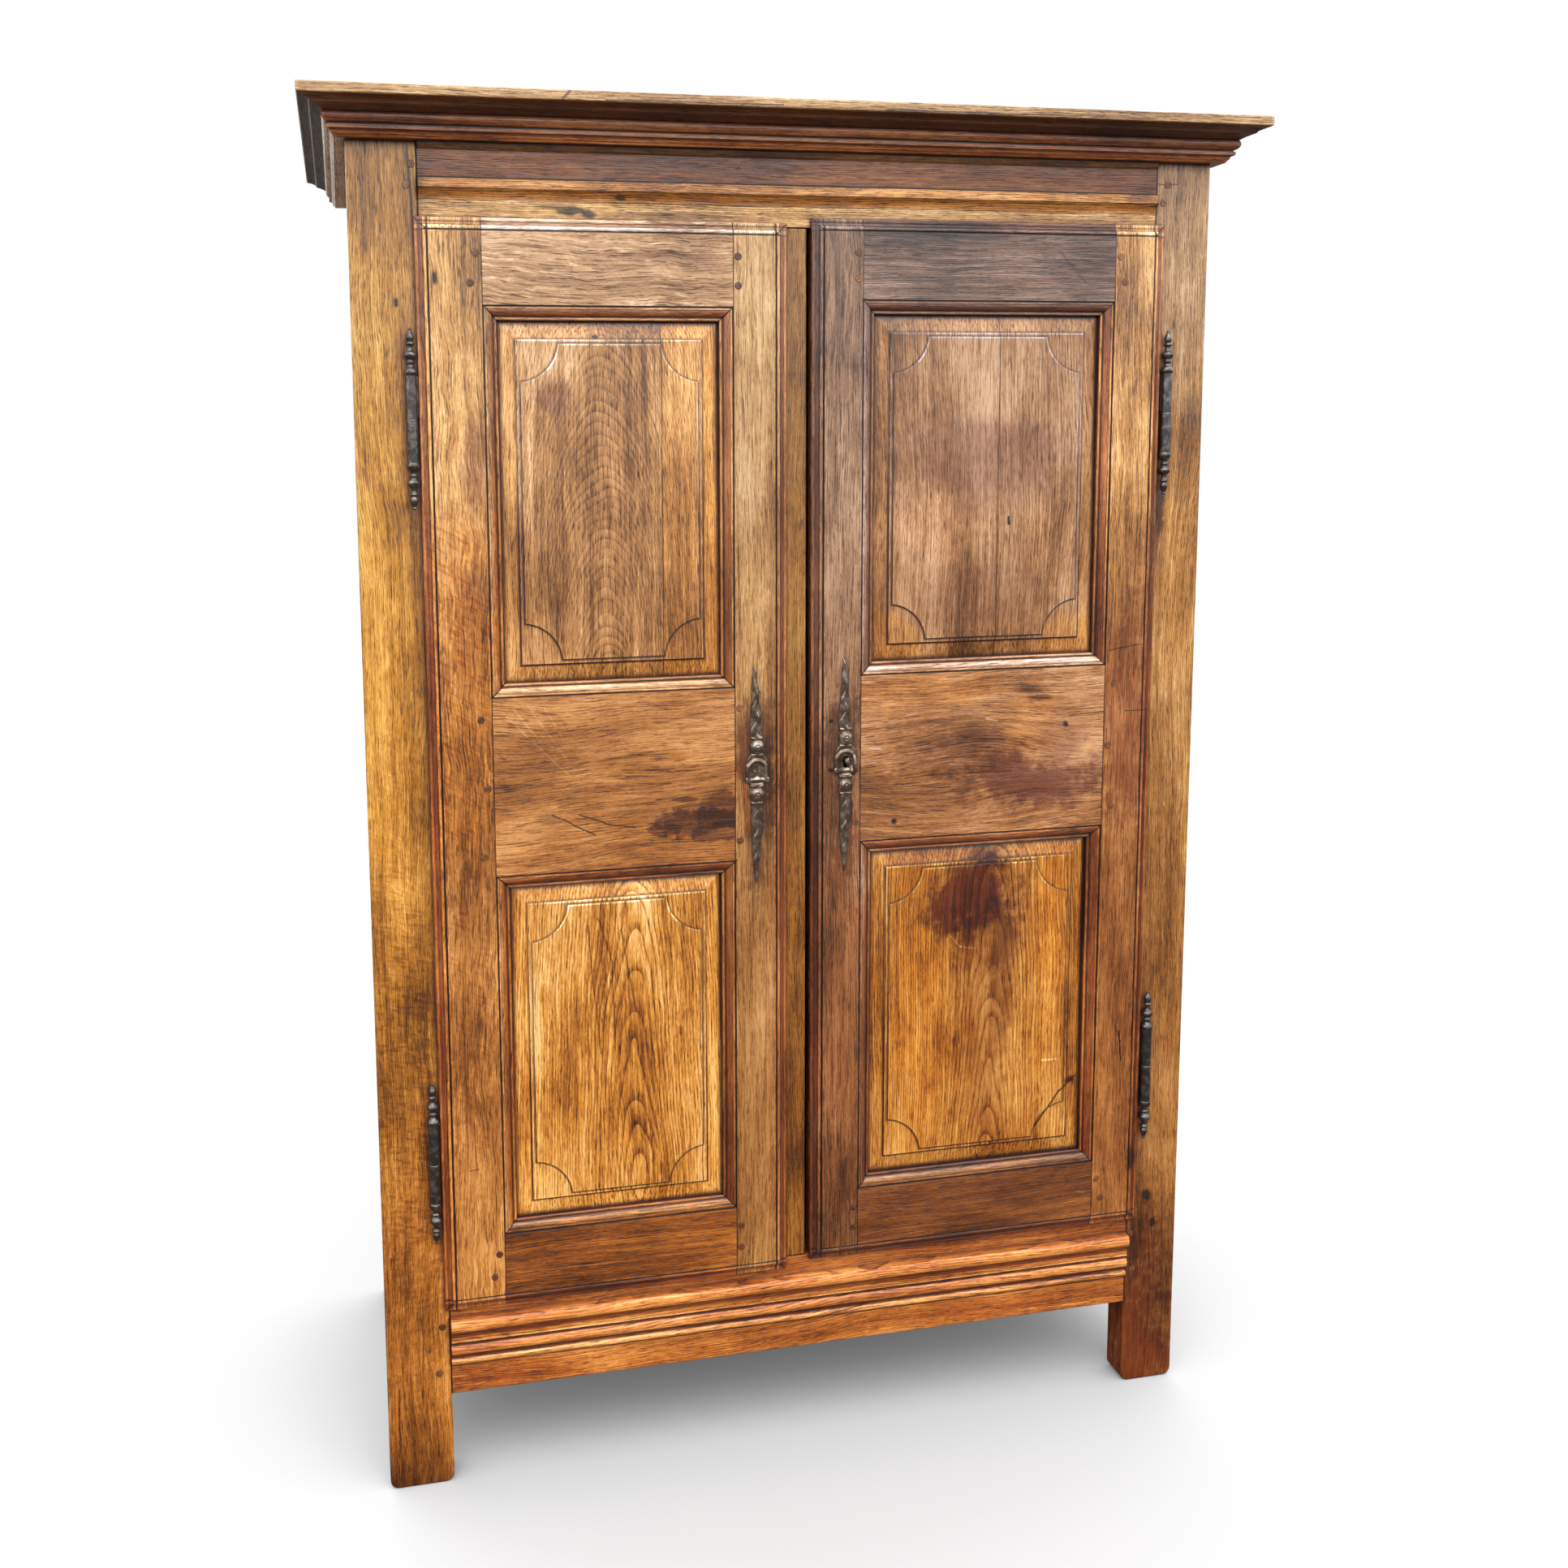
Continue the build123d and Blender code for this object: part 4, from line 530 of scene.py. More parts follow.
def stile(node, lip_side, cove):
    """A stile's own marks: its lip on one side (-1 left, 1 right) and its panel moulding on the other."""
    low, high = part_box(node)
    lip_edge, panel_edge = (low.x, high.x) if lip_side < 0 else (high.x, low.x)
    flat = panel_edge + lip_side * MOULDING_WIDTH
    door = node.split("_")[0]
    marks = [mitre(lip_edge, high.z, -lip_side * LIP_WIDTH, -LIP_WIDTH),
             mitre(lip_edge, low.z, -lip_side * LIP_WIDTH, LIP_WIDTH),
             moulding("x", lip_edge, -lip_side, LIP_WEAR_AND_SHADING), moulding("x", flat, -lip_side, cove),
             moulding("z", high.z, -1, BRIGHT_LIP_WEAR_AND_SHADING, 0.7), moulding("z", low.z, 1, LIP_WEAR_AND_SHADING, 0.8)]
    for lower, upper in (("bottom", "middle"), ("middle", "top")):
        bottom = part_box(f"{door}_{lower}_rail")[1].z - MOULDING_WIDTH
        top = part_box(f"{door}_{upper}_rail")[0].z + MOULDING_WIDTH
        for z, rise in ((bottom, MOULDING_WIDTH), (top, -MOULDING_WIDTH)):
            marks.append(mitre(flat, z, -lip_side * MOULDING_WIDTH, rise))
    return marks


def use(node, material):
    """Give a CAD node one material."""
    nodes[node].data.materials.clear()
    nodes[node].data.materials.append(material)


def board(node, grain, tones, seed, **how):
    """Give a CAD node its own oak."""
    use(node, oak(f"{node}_oak", grain, tones, seed, box=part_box(node), **how))


# Posts
board("front_post_left", "z", HONEY, 1, pith=(-0.95, 0.05), ring=0.003, rings=0.4, rays=0.4, curl=0.0018,
      wild=0.008, wash=(0.92, 0.88, 0.92), marks=[
    blot(-0.6, 1.95, 0.12, 0.12, 0.5, BROWN), blot(-0.6, 0.1, 0.12, 0.5, 0.65, (1.0, 0.8, 0.85)),
    # The brown strips at about x -0.565 m, beside the door's edge, are painted shadow of the door.
    blot(-0.565, 1.62, 0.03, 0.2, 0.7, BROWN), blot(-0.565, 1.35, 0.02, 0.16, 0.5, BROWN),
    blot(-0.6, 0.0, 0.09, 0.05, 0.6, DARK), blot(-0.62, 1.2, 0.05, 0.45, 0.5, GOLD),
    blot(-0.562, 0.55, 0.02, 0.25, 0.6, BROWN), figure(-0.6, 0.85, 0.07, 0.4, 0.5, 0.6, SILVER),
    figure(-0.6, 0.3, 0.07, 0.3, -0.6, 0.7, SILVER), figure(-0.6, 0.6, 0.07, 0.5, 0.2, 0.7, BROWN),
    line(-0.566, 1.975, -0.562, 1.885, 0.0018, 0.9), line(-0.623, 1.975, -0.623, 1.964, 0.003, 1),
    line(-0.588, 1.767, -0.588, 1.76, 0.004, 1), line(-0.635, 0.05, -0.632, 0.16, 0.0016, 0.8),
    line(-0.598, 0.13, -0.594, 0.3, 0.0013, 0.7)])
board("front_post_right", "z", CHESTNUT, 2, pith=(0.95, 0.05), ring=0.0032, rings=0.5, rays=0.35,
      curl=0.001, wild=0.006, shift=0.03, wash=(1.03, 1.16, 1.42), marks=[
    # The bluish pale blot near the top, at z 1.8 m, is painted sheen.
    blot(0.62, 1.45, 0.05, 0.3, 0.5, GOLD), blot(0.6, 1.8, 0.08, 0.22, 0.6, (0.95, 1.1, 1.75)),
    blot(0.6, 0.55, 0.08, 0.5, 0.6, (0.76, 0.7, 0.6)),
    blot(0.6, 0.08, 0.12, 0.22, 1.0, (0.36, 0.155, 0.03), 0.7), blot(0.578, 1.46, 0.016, 0.05, 0.9, DARK),
    # The brown strips at about x 0.58 m, beside the door's edge, are painted shadow of the door.
    blot(0.578, 1.52, 0.02, 0.14, 0.7, BROWN), blot(0.58, 0.52, 0.02, 0.2, 0.6, BROWN),
    blot(0.595, 0.325, 0.01, 0.012, 0.9, BLACK), blot(0.607, 0.275, 0.007, 0.01, 0.9, BLACK),
    blot(0.59, 0.465, 0.008, 0.018, 0.8, BLACK), blot(0.577, 0.235, 0.01, 0.05, 0.6, DARK),
    line(0.562, 1.949, 0.594, 1.949, 0.0012, 0.9), line(0.594, 1.949, 0.594, 1.98, 0.0012, 0.9),
    line(0.601, 1.0, 0.606, 0.985, 0.0018, 0.9, CHALK)])
board("back_post_left", "z", DRY, 3, pith=(-0.9, 0.1), rings=0.4, bleach=0, gloss=0.6)
use("back_post_right", nodes["back_post_left"].data.materials[0])

# Front rails
board("front_top_rail", "x", CHESTNUT, 4, pith=(1.7, 0.05), ring=0.0028, rings=0.55,
      marks=rail_ends("front_top_rail") + [
    # Bands along the frieze's profile: the dark band along the top is painted shadow of the cornice, the
    # light band on the fillet at 1.92 to 1.93 m a painted highlight, and the golden band below it painted
    # shade in the cove.
    band("z", 1.9348, 1.971, 0.0015, 0.9, (0.475, 0.277, 0.116)), band("z", 1.971, 1.99, 0.001, 0.6, DARK),
    band("z", 1.9308, 1.9348, 0.0006, 0.95, BLACK), band("z", 1.9185, 1.9305, 0.001, 0.7, (1.5, 1.4, 1.3)),
    band("z", 1.9035, 1.9175, 0.001, 0.8, (1.05, 0.8, 0.38)),
    band("z", 1.87, 1.903, 0.001, 0.8, (1.69, 2.28, 3.28)), band("z", 1.9028, 1.9048, 0.0005, 0.8, CHALK),
    blot(-0.345, 1.89, 0.022, 0.006, 0.9, BLACK), blot(-0.318, 1.886, 0.012, 0.007, 0.9, BLACK),
    blot(-0.37, 1.897, 0.03, 0.004, 0.7, DARK), blot(-0.27, 1.911, 0.01, 0.004, 0.9, BLACK),
    # The long brown blot low on the right half is painted shade above the right door.
    blot(0.28, 1.89, 0.35, 0.012, 0.6, BROWN), line(-0.1, 1.955, -0.098, 1.956, 0.003, 1),
    blot(-0.565, 1.93, 0.03, 0.06, 0.6, DARK), blot(0.58, 1.93, 0.03, 0.06, 0.6, DARK)])
board("front_bottom_rail", "x", RUSSET, 5, pith=(0.55, 0.06), ring=0.004, rings=0.55, wild=0.009,
      shift=0.09, wash=(1.4, 1.54, 1.54), marks=rail_ends("front_bottom_rail") + [
    blot(-0.45, 0.165, 0.14, 0.02, 0.5, RED), blot(0.3, 0.165, 0.14, 0.02, 0.5, RED),
    # Bands along the apron's mouldings, painted as they are lit: painted highlights on the beads and rounds
    # that face up, painted shade in the coves that face down and in the grooves, and painted shadow of the
    # doors' lips along the top.
    band("z", 0.2225, 0.2264, 0.0006, 0.9, (0.14, 0.07, 0.06)),
    band("z", 0.2268, 0.2295, 0.0005, 0.9, CHALK), band("z", 0.2, 0.207, 0.001, 0.9, (0.2, 0.1, 0.08)),
    band("z", 0.19, 0.1995, 0.001, 0.8, (1.4, 1.9, 3.2)),
    band("z", 0.1868, 0.1897, 0.0005, 0.85, (0.14, 0.07, 0.06)),
    band("z", 0.236, 0.247, 0.001, 0.85, (0.3, 0.15, 0.11)),
    band("z", 0.248, 0.263, 0.001, 0.65, (1.3, 1.35, 1.6)), band("z", 0.2655, 0.3, 0.001, 0.6, BROWN),
    band("z", 0.208, 0.222, 0.001, 0.6, (1.2, 1.25, 1.6))])

# Left door
board("left_hinge_stile", "z", CHESTNUT, 6, pith=(-0.7, 0.1), ring=0.0032, rings=0.25, rays=0.5,
      curl=0.003, wild=0.006, shift=0.07, wash=(1.1, 1.12, 1.2),
      marks=stile("left_hinge_stile", -1, PALE_COVE_WEAR_AND_SHADING) + [
    # The bluish pale blot at the top, at z 1.74 m, is painted sheen.
    blot(-0.52, 1.74, 0.07, 0.26, 0.9, (1.35, 1.6, 1.9)), blot(-0.485, 1.55, 0.02, 0.07, 0.7, PURPLE),
    figure(-0.515, 1.25, 0.07, 0.33, 0.6, 0.75, RED), figure(-0.52, 1.22, 0.07, 0.36, -0.4, 0.6, GOLD),
    figure(-0.52, 0.75, 0.07, 0.3, 0.5, 0.5, RED), blot(-0.49, 1.35, 0.04, 0.1, 0.3, RED),
    blot(-0.5, 1.2, 0.05, 0.3, 0.5, GOLD), blot(-0.535, 1.797, 0.004, 0.012, 1, BLACK),
    line(-0.52, 0.5, -0.505, 0.502, 0.0015, 0.8, DARK)])
board("left_meeting_stile", "z", FAWN, 7, pith=(0.3, 0.12), ring=0.003, rings=0.3, rays=0.25, curl=0.001,
      wash=(0.96, 0.87, 0.84), marks=stile("left_meeting_stile", 1, COVE_WEAR_AND_SHADING) + [
    blot(-0.08, 0.6, 0.08, 0.45, 0.4, BROWN), blot(-0.074, 1.14, 0.034, 0.075, 0.9, (0.34, 0.24, 0.19)),
    blot(-0.045, 1.35, 0.02, 0.35, 0.6, BROWN), blot(-0.04, 0.8, 0.02, 0.5, 0.5, RED),
    blot(-0.09, 1.5, 0.03, 0.12, 0.45, SLATY), blot(-0.076, 0.96, 0.022, 0.09, 0.5, DARK),
    blot(-0.06, 1.08, 0.012, 0.06, 0.8, BLACK), blot(-0.06, 1.01, 0.012, 0.05, 0.7, DARK),
    blot(-0.085, 1.05, 0.02, 0.16, 0.6, RED)])
board("left_top_rail", "x", FAWN, 8, pith=(1.45, 0.1), ring=0.0026, rings=0.25, rays=0.65, curl=0.0035,
      wild=0.003, shift=0.02, wash=(1.05, 0.98, 1.22), marks=rail("left_top_rail", BRIGHT_LIP_WEAR_AND_SHADING, COVE_WEAR_AND_SHADING) + [
    figure(-0.25, 1.81, 0.2, 0.06, 1.2, 0.35, SILVER), blot(-0.2, 1.825, 0.1, 0.02, 0.5, BROWN)])
board("left_middle_rail", "x", CHESTNUT, 9, pith=(0.85, 0.1), ring=0.003, rings=0.25, wild=0.016,
      shift=0.06, rays=0.2, wash=(1.03, 1.0, 1.12), marks=rail("left_middle_rail", WHITE_COVE_WEAR_AND_SHADING, COVE_WEAR_AND_SHADING) + [
    blot(-0.122, 1.022, 0.042, 0.042, 0.85, SPILL, 0.3), blot(-0.165, 1.008, 0.062, 0.022, 0.9, SPILL, 0.15),
    blot(-0.212, 1.0, 0.03, 0.01, 0.8, SPILL, 0.15), blot(-0.135, 0.99, 0.045, 0.014, 0.8, SPILL, 0.15),
    blot(-0.185, 1.043, 0.02, 0.004, 0.8, DARK, 0.2), blot(-0.17, 1.026, 0.04, 0.012, 0.6, BROWN, 0.2),
    line(-0.385, 1.032, -0.322, 0.998, 0.0015, 0.9), line(-0.345, 1.03, -0.3, 1.012, 0.0014, 0.9),
    line(-0.3, 1.012, -0.262, 1.006, 0.0014, 0.9), line(-0.262, 1.006, -0.2, 1.012, 0.001, 0.7, DARK),
    blot(-0.39, 1.026, 0.022, 0.009, 0.5, DARK), blot(-0.31, 1.07, 0.012, 0.01, 0.6, RED),
    figure(-0.36, 1.12, 0.12, 0.08, 1.0, 0.3, SILVER), line(-0.45, 1.18, -0.36, 1.09, 0.001, 0.6, CHALK),
    line(-0.42, 1.195, -0.36, 1.11, 0.0008, 0.55, CHALK), line(-0.44, 1.19, -0.4, 1.14, 0.0008, 0.55, CHALK),
    line(-0.395, 1.19, -0.365, 1.14, 0.0007, 0.5, CHALK)])
board("left_bottom_rail", "x", UMBER, 10, pith=(0.75, 0.1), ring=0.0034, rings=0.4, rays=0.3, shift=0.06,
      wash=(1.38, 1.06, 0.46), marks=rail("left_bottom_rail", WHITE_COVE_WEAR_AND_SHADING, LIP_WEAR_AND_SHADING))
board("left_rebate_strip", "z", CHESTNUT, 11, pith=(0.3, 0.1), ring=0.003, rings=0.4,
      wash=(0.86, 0.86, 0.58), marks=[
    band("x", -0.031, -0.0275, 0.0006, 0.8, DARK), blot(-0.012, 1.55, 0.06, 0.7, 0.8, (0.74, 0.7, 0.62))])

# Right door
board("right_hinge_stile", "z", CHESTNUT, 12, pith=(0.8, 0.06), ring=0.003, rings=0.45, curl=0.0008,
      wild=0.006, shift=0.04, wash=(1.0, 1.0, 1.08), marks=stile("right_hinge_stile", 1, COVE_WEAR_AND_SHADING) + [
    # The bluish pale blot at the top, at z 1.65 m, is painted sheen.
    blot(0.52, 1.65, 0.06, 0.3, 0.6, (1.57, 1.81, 2.07)),
    blot(0.53, 0.7, 0.07, 0.5, 0.6, (0.52, 0.35, 0.26)),
    blot(0.53, 1.12, 0.07, 0.2, 1.0, (0.68, 0.52, 0.52)), line(0.563, 1.143, 0.563, 0.45, 0.0012, 0.85),
    line(0.525, 1.143, 0.563, 1.143, 0.0012, 0.85), line(0.53, 0.62, 0.534, 0.57, 0.002, 1),
    line(0.534, 0.6, 0.522, 0.63, 0.0014, 0.9), blot(0.56, 0.4, 0.01, 0.025, 0.9, BLACK),
    line(0.495, 1.24, 0.55, 1.248, 0.0012, 0.85)])
board("right_meeting_stile", "z", SLATE, 13, pith=(-0.3, 0.12), ring=0.0034, rings=0.3, wild=0.004,
      shift=0.02, wash=(1.14, 0.96, 0.78), marks=stile("right_meeting_stile", -1, PALE_COVE_WEAR_AND_SHADING) + [
    blot(0.06, 0.65, 0.08, 0.5, 0.8, (0.8, 0.54, 0.3)),
    blot(0.066, 1.13, 0.032, 0.075, 0.85, (0.34, 0.24, 0.21)), blot(0.045, 1.09, 0.014, 0.1, 0.6, BROWN),
    blot(0.06, 0.98, 0.02, 0.1, 0.6, BROWN), blot(0.04, 1.15, 0.0045, 0.004, 1, BLACK),
    blot(0.04, 1.075, 0.0045, 0.004, 1, BLACK)])
board("right_top_rail", "x", SLATE, 14, pith=(2.0, 0.06), ring=0.0034, rings=0.5, wild=0.009,
      wash=(0.9, 0.8, 0.82), marks=rail("right_top_rail", LIP_WEAR_AND_SHADING, COVE_WEAR_AND_SHADING) + [
    blot(0.44, 1.83, 0.05, 0.05, 0.5, PURPLE), line(0.4, 1.845, 0.44, 1.8, 0.003, 0.5, DARK)])
board("right_middle_rail", "x", CHESTNUT, 15, pith=(1.35, 0.08), ring=0.003, rings=0.35, wild=0.018,
      shift=0.06, wash=(0.96, 1.0, 1.55), marks=rail("right_middle_rail", WHITE_COVE_WEAR_AND_SHADING, COVE_WEAR_AND_SHADING) + [
    blot(0.35, 1.04, 0.125, 0.055, 0.95, (0.38, 0.24, 0.27), 0.4), blot(0.2, 1.19, 0.13, 0.03, 0.7, GOLD),
    blot(0.36, 1.13, 0.09, 0.04, 0.5, GOLD), blot(0.36, 1.185, 0.03, 0.01, 0.85, DARK, 0.7),
    blot(0.375, 1.17, 0.02, 0.006, 0.8, DARK, 0.5), blot(0.25, 1.09, 0.09, 0.04, 0.6, PURPLE),
    blot(0.42, 1.11, 0.04, 0.05, 0.6, PURPLE), blot(0.425, 1.128, 0.006, 0.006, 1, BLACK),
    blot(0.14, 0.988, 0.005, 0.005, 1, BLACK), line(0.29, 1.142, 0.308, 1.138, 0.003, 1, CHALK),
    line(0.105, 1.105, 0.12, 1.104, 0.0016, 0.9, CHALK)])
board("right_bottom_rail", "x", UMBER, 16, pith=(0.75, 0.12), ring=0.0034, rings=0.4, wild=0.006,
      shift=0.04, wash=(0.9, 0.7, 0.5), marks=rail("right_bottom_rail", WHITE_COVE_WEAR_AND_SHADING, LIP_WEAR_AND_SHADING) + [
    blot(0.25, 0.37, 0.16, 0.03, 0.5, PURPLE), line(0.462, 0.354, 0.474, 0.35, 0.0024, 1, CHALK)])

# Panels
board("left_upper_panel", "z", CHESTNUT, 17, pith=(-0.305, 0.055), ring=0.0032, lift=0.22, rise=1.3,
      rings=0.32, wild=0.004, shift=0.04, wash=(1.22, 1.4, 2.1), marks=[
    band("x", -0.2157, -0.2143, 0.0006, 0.9, BLACK), band("x", -0.215, -0.1, 0.0008, 0.6, GOLD),
    blot(-0.37, 1.635, 0.028, 0.03, 0.75, PURPLE), blot(-0.31, 1.718, 0.006, 0.003, 1, BLACK),
    margin(-0.424, -0.155, 1.253, 1.714, 0.001, 0.6, GOLD), blot(-0.3, 1.4, 0.08, 0.14, 0.3, SLATY),
    fielded("left_upper_panel")])
board("left_lower_panel", "z", AMBER, 18, pith=(-0.265, 0.045), ring=0.0042, lift=0.075, rise=0.58,
      rings=0.62, wild=0.004, shift=0.08, wash=(1.14, 1.3, 2.5), marks=[
    line(-0.335, 0.86, -0.318, 0.66, 0.0018, 0.85, DARK), line(-0.32, 0.87, -0.298, 0.8, 0.0016, 0.85, DARK),
    line(-0.298, 0.8, -0.296, 0.7, 0.0016, 0.85, DARK), line(-0.285, 0.85, -0.262, 0.72, 0.0016, 0.8, DARK),
    margin(-0.424, -0.155, 0.44, 0.899, 0.001, 0.35, GOLD), fielded("left_lower_panel")])
board("right_upper_panel", "z", CHESTNUT, 19, pith=(0.6, 0.2), ring=0.0036, rings=0.35, wild=0.007,
      shift=0.05, wash=(0.86, 0.94, 1.55), marks=[
    band("x", 0.3063, 0.3077, 0.0006, 0.9, BLACK), blot(0.29, 1.54, 0.17, 0.075, 0.65, PURPLE),
    blot(0.215, 1.44, 0.085, 0.05, 0.7, PALE), blot(0.385, 1.42, 0.05, 0.05, 0.5, PALE),
    blot(0.3, 1.33, 0.12, 0.05, 0.4, PURPLE), line(0.325, 1.45, 0.325, 1.44, 0.003, 1),
    margin(0.133, 0.443, 1.263, 1.726, 0.001, 0.5, GOLD), blot(0.133, 1.263, 0.055, 0.055, 0.7, GOLD, 0.1),
    blot(0.443, 1.263, 0.055, 0.055, 0.7, GOLD, 0.1), fielded("right_upper_panel")])
board("right_lower_panel", "z", AMBER, 20, pith=(0.315, 0.045), ring=0.0042, lift=0.065, rise=0.6,
      rings=0.65, wild=0.005, shift=0.05, wash=(0.88, 0.88, 1.25), marks=[
    blot(0.28, 0.86, 0.085, 0.065, 1.0, (0.26, 0.12, 0.1), 0.5), blot(0.3, 0.8, 0.06, 0.06, 0.6, BROWN),
    blot(0.295, 0.64, 0.05, 0.3, 0.65, BROWN), blot(0.33, 0.74, 0.025, 0.12, 0.7, (0.4, 0.26, 0.2)),
    blot(0.41, 0.8, 0.03, 0.2, 0.6, GOLD), blot(0.19, 0.7, 0.05, 0.25, 0.5, GOLD),
    line(0.24, 0.8, 0.258, 0.78, 0.0016, 1, CHALK), line(0.258, 0.78, 0.282, 0.775, 0.0014, 0.9, CHALK),
    line(0.4, 0.58, 0.425, 0.58, 0.0024, 1, CHALK), line(0.39, 0.47, 0.43, 0.525, 0.0024, 0.9),
    line(0.43, 0.525, 0.46, 0.545, 0.0024, 0.9), blot(0.45, 0.54, 0.01, 0.006, 1, DARK),
    fielded("right_lower_panel")])

# Cornice
# A pale painted sheen on the crown's fillet, and painted shade on the cornice's underside.
FILLET_SHEEN = band("z", 2.0262, 2.05, 0.0008, 0.9, (1.12, 1.50, 2.5))
SOFFIT_SHADE = band("z", 2.00, 2.0255, 0.0010, 0.92, (0.30, 0.18, 0.19))
board("cornice_crown_front", "x", CHESTNUT, 21, pith=(2.3, 0.1), ring=0.003, rings=0.4, gloss=0.5,
      whole=True, marks=[
    FILLET_SHEEN, SOFFIT_SHADE, line(-0.36, 2.028, -0.35, 2.038, 0.003, 0.9, DARK),
    line(-0.3, 2.0275, -0.05, 2.029, 0.0016, 0.8), line(0.1, 2.0275, 0.4, 2.0285, 0.0014, 0.8)])
board("cornice_crown_right", "y", CHESTNUT, 22, pith=(1.4, 0.1), rings=0.4, gloss=0.5, whole=True, marks=[
    FILLET_SHEEN, SOFFIT_SHADE])
# The left return's underside band is painted shade as well.
board("cornice_crown_left", "y", SLATE, 23, pith=(1.4, 0.1), rings=0.6, gloss=0.7, wild=0.018, shift=0.1,
      wash=(0.62, 0.66, 0.72), whole=True, marks=[band("z", 2.0, 2.0255, 0.0012, 0.8, (0.4, 0.42, 0.48))])
board("cornice_bed_front", "x", RUSSET, 24, pith=(2.3, 0.1), ring=0.003, rings=0.5, shift=0.04,
      wash=(0.62, 0.5, 0.46), whole=True, marks=[
    band("z", 1.994, 1.9968, 0.0008, 0.85, BLACK), band("z", 1.9805, 1.9865, 0.0008, 0.7, (1.5, 1.4, 1.2)),
    band("z", 1.997, 1.9995, 0.0005, 0.6, (1.6, 1.5, 1.4))])
board("cornice_bed_right", "y", RUSSET, 25, pith=(1.4, 0.1), rings=0.5, shift=0.04)
board("cornice_bed_left", "y", SLATE, 26, pith=(1.4, 0.1), rings=0.5, gloss=0.65, shift=0.28,
      wash=(1.9, 2.0, 2.0))

# Sides, back and inside
for side, seed in (("left", 27), ("right", 31)):
    board(f"side_panel_{side}", "z", CHESTNUT, seed, pith=(0.02, 0.05), ring=0.005, rings=0.5, wild=0.006,
          gloss=0.42)
    board(f"side_top_rail_{side}", "y", CHESTNUT, seed + 1, pith=(0.2, 0.1))
    board(f"side_bottom_rail_{side}", "y", CHESTNUT, seed + 2, pith=(0.2, 0.1))
PLAIN = {"ring": 0.005, "rings": 0.6, "bleach": 0}
board("back_boards", "z", DRY, 35, pith=(-0.3, 0.12), wild=0.003, row=("x", 8), gloss=0.7, **PLAIN)
board("roof_boards", "x", DRY, 36, pith=(0.1, 0.2), row=("y", 3), gloss=0.75, **PLAIN)
board("floor_boards", "x", DRY, 37, pith=(0.1, 0.2), row=("y", 3), gloss=0.6, **PLAIN)
for seed, name in enumerate(("lower_shelf", "upper_shelf", "back_top_rail", "back_bottom_rail"), start=38):
    board(name, "x", DRY, seed, pith=(0.1, 0.2), gloss=0.6, **PLAIN)
board("shelf_cleats", "y", DRY, 42, pith=(0.1, 0.2), rings=0.5, bleach=0, gloss=0.6)
peg_oak = oak("peg_oak", "y", UMBER, 43, pith=(0.1, 0.2), rings=0.3, gloss=0.4, wash=(0.75, 0.62, 0.55))
for name in ("carcass_pegs", "left_door_pegs", "right_door_pegs"):
    use(name, peg_oak)


# ---------------------------------------- iron
def iron(name, dark, bright, rough, rust, metal=0.9):
    """Old hand-worked iron: brown in its hollows, rubbed bright on its edges, with a hammered skin."""
    g = Graph(bpy.data.materials.new(name))
    place = g.place()
    rounded = g.rounded(0.0012, 6)
    normal = g.node("ShaderNodeNewGeometry").outputs["Normal"]
    turned = g.math("SUBTRACT", 1.0, g.vector("DOT_PRODUCT", rounded, normal))
    cloud = g.noise(place, 90.0, 4.0, 0.65)
    speck = g.noise(place, 700.0, 3.0, 0.6)
    rubbed = g.math("MAXIMUM", g.times(g.smooth(turned, 0.01, 0.10), 0.9),
                    g.times(g.smooth(cloud, 0.42, 0.70), 0.35))
    body = g.mix(rubbed, tint(dark), tint(bright))
    brown = g.times(g.smooth(g.plus(cloud, g.sway(speck, 0.2)), 0.44, 0.26), rust)
    body = g.mix(brown, body, tint("5a341c"))
    body = g.soiled(g.smooth(g.open_air(0.006, 6), 0.75, 0.25), body, (0.20, 0.15, 0.12))
    dents = g.bump(g.plus(cloud, g.times(speck, 0.35)), 0.14, 0.0005, rounded)
    roughness = g.plus(rough, g.sway(cloud, 0.12), g.times(brown, 0.35))
    return g.finish(Base_Color=body, Metallic=g.math("SUBTRACT", metal, g.times(brown, 0.6)),
                    Roughness=roughness, Normal=dents)


# The escutcheons' edge in mm about the keyhole, from the tip of the blade to the tip of the leaf.
# Both sides share the middle.
MIDDLE_EDGE = ((9.4, 46), (11.4, 34), (9.6, 23), (15.4, 14), (17.4, 2), (16.6, -12), (18.4, -13),
               (18.4, -19), (12.4, -20.5), (10, -27), (12.6, -39), (9.4, -50))
EDGE_RIGHT = ((-4, 155), (0.5, 147), (-0.6, 134), (4.4, 118), (3.4, 101), (6.6, 84), (6, 68), (8.4, 54),
              *MIDDLE_EDGE, (9.4, -57), (12.8, -70), (10, -90), (5.6, -108), (5.2, -128), (2.6, -146),
              (3, -160), (0, -174))
EDGE_LEFT = ((-4, 155), (-6, 140), (-6.4, 118), (-7.8, 100), (-9, 84), (-10.8, 66), (-10.8, 54),
             *((-x, z) for x, z in MIDDLE_EDGE), (-8.2, -58), (-8, -76), (-8.8, -95), (-8, -114),
             (-7.4, -134), (-5, -152), (-3.4, -165), (0, -174))
PLATE_TOP = EDGE_RIGHT[0][1]
PLATE_FOOT = EDGE_RIGHT[-1][1]
PLATE_RIM = 1.3
PLATE_LIMIT = 4.5
DOME_LIMIT = 2.4
DOME_SHARE = 0.26
BLADE_FOOT = 46
LEAF_TOP = -50
VEIN_SWAY = 0.40
VEIN_WAVE = 0.19
VEIN_HALF = 0.45
VEIN_RISE = 1.1
COLLARS = (47, 21.5, -25.5, -51.5)
COLLAR_RISE = 2.6
COLLAR_HALF = 2.0
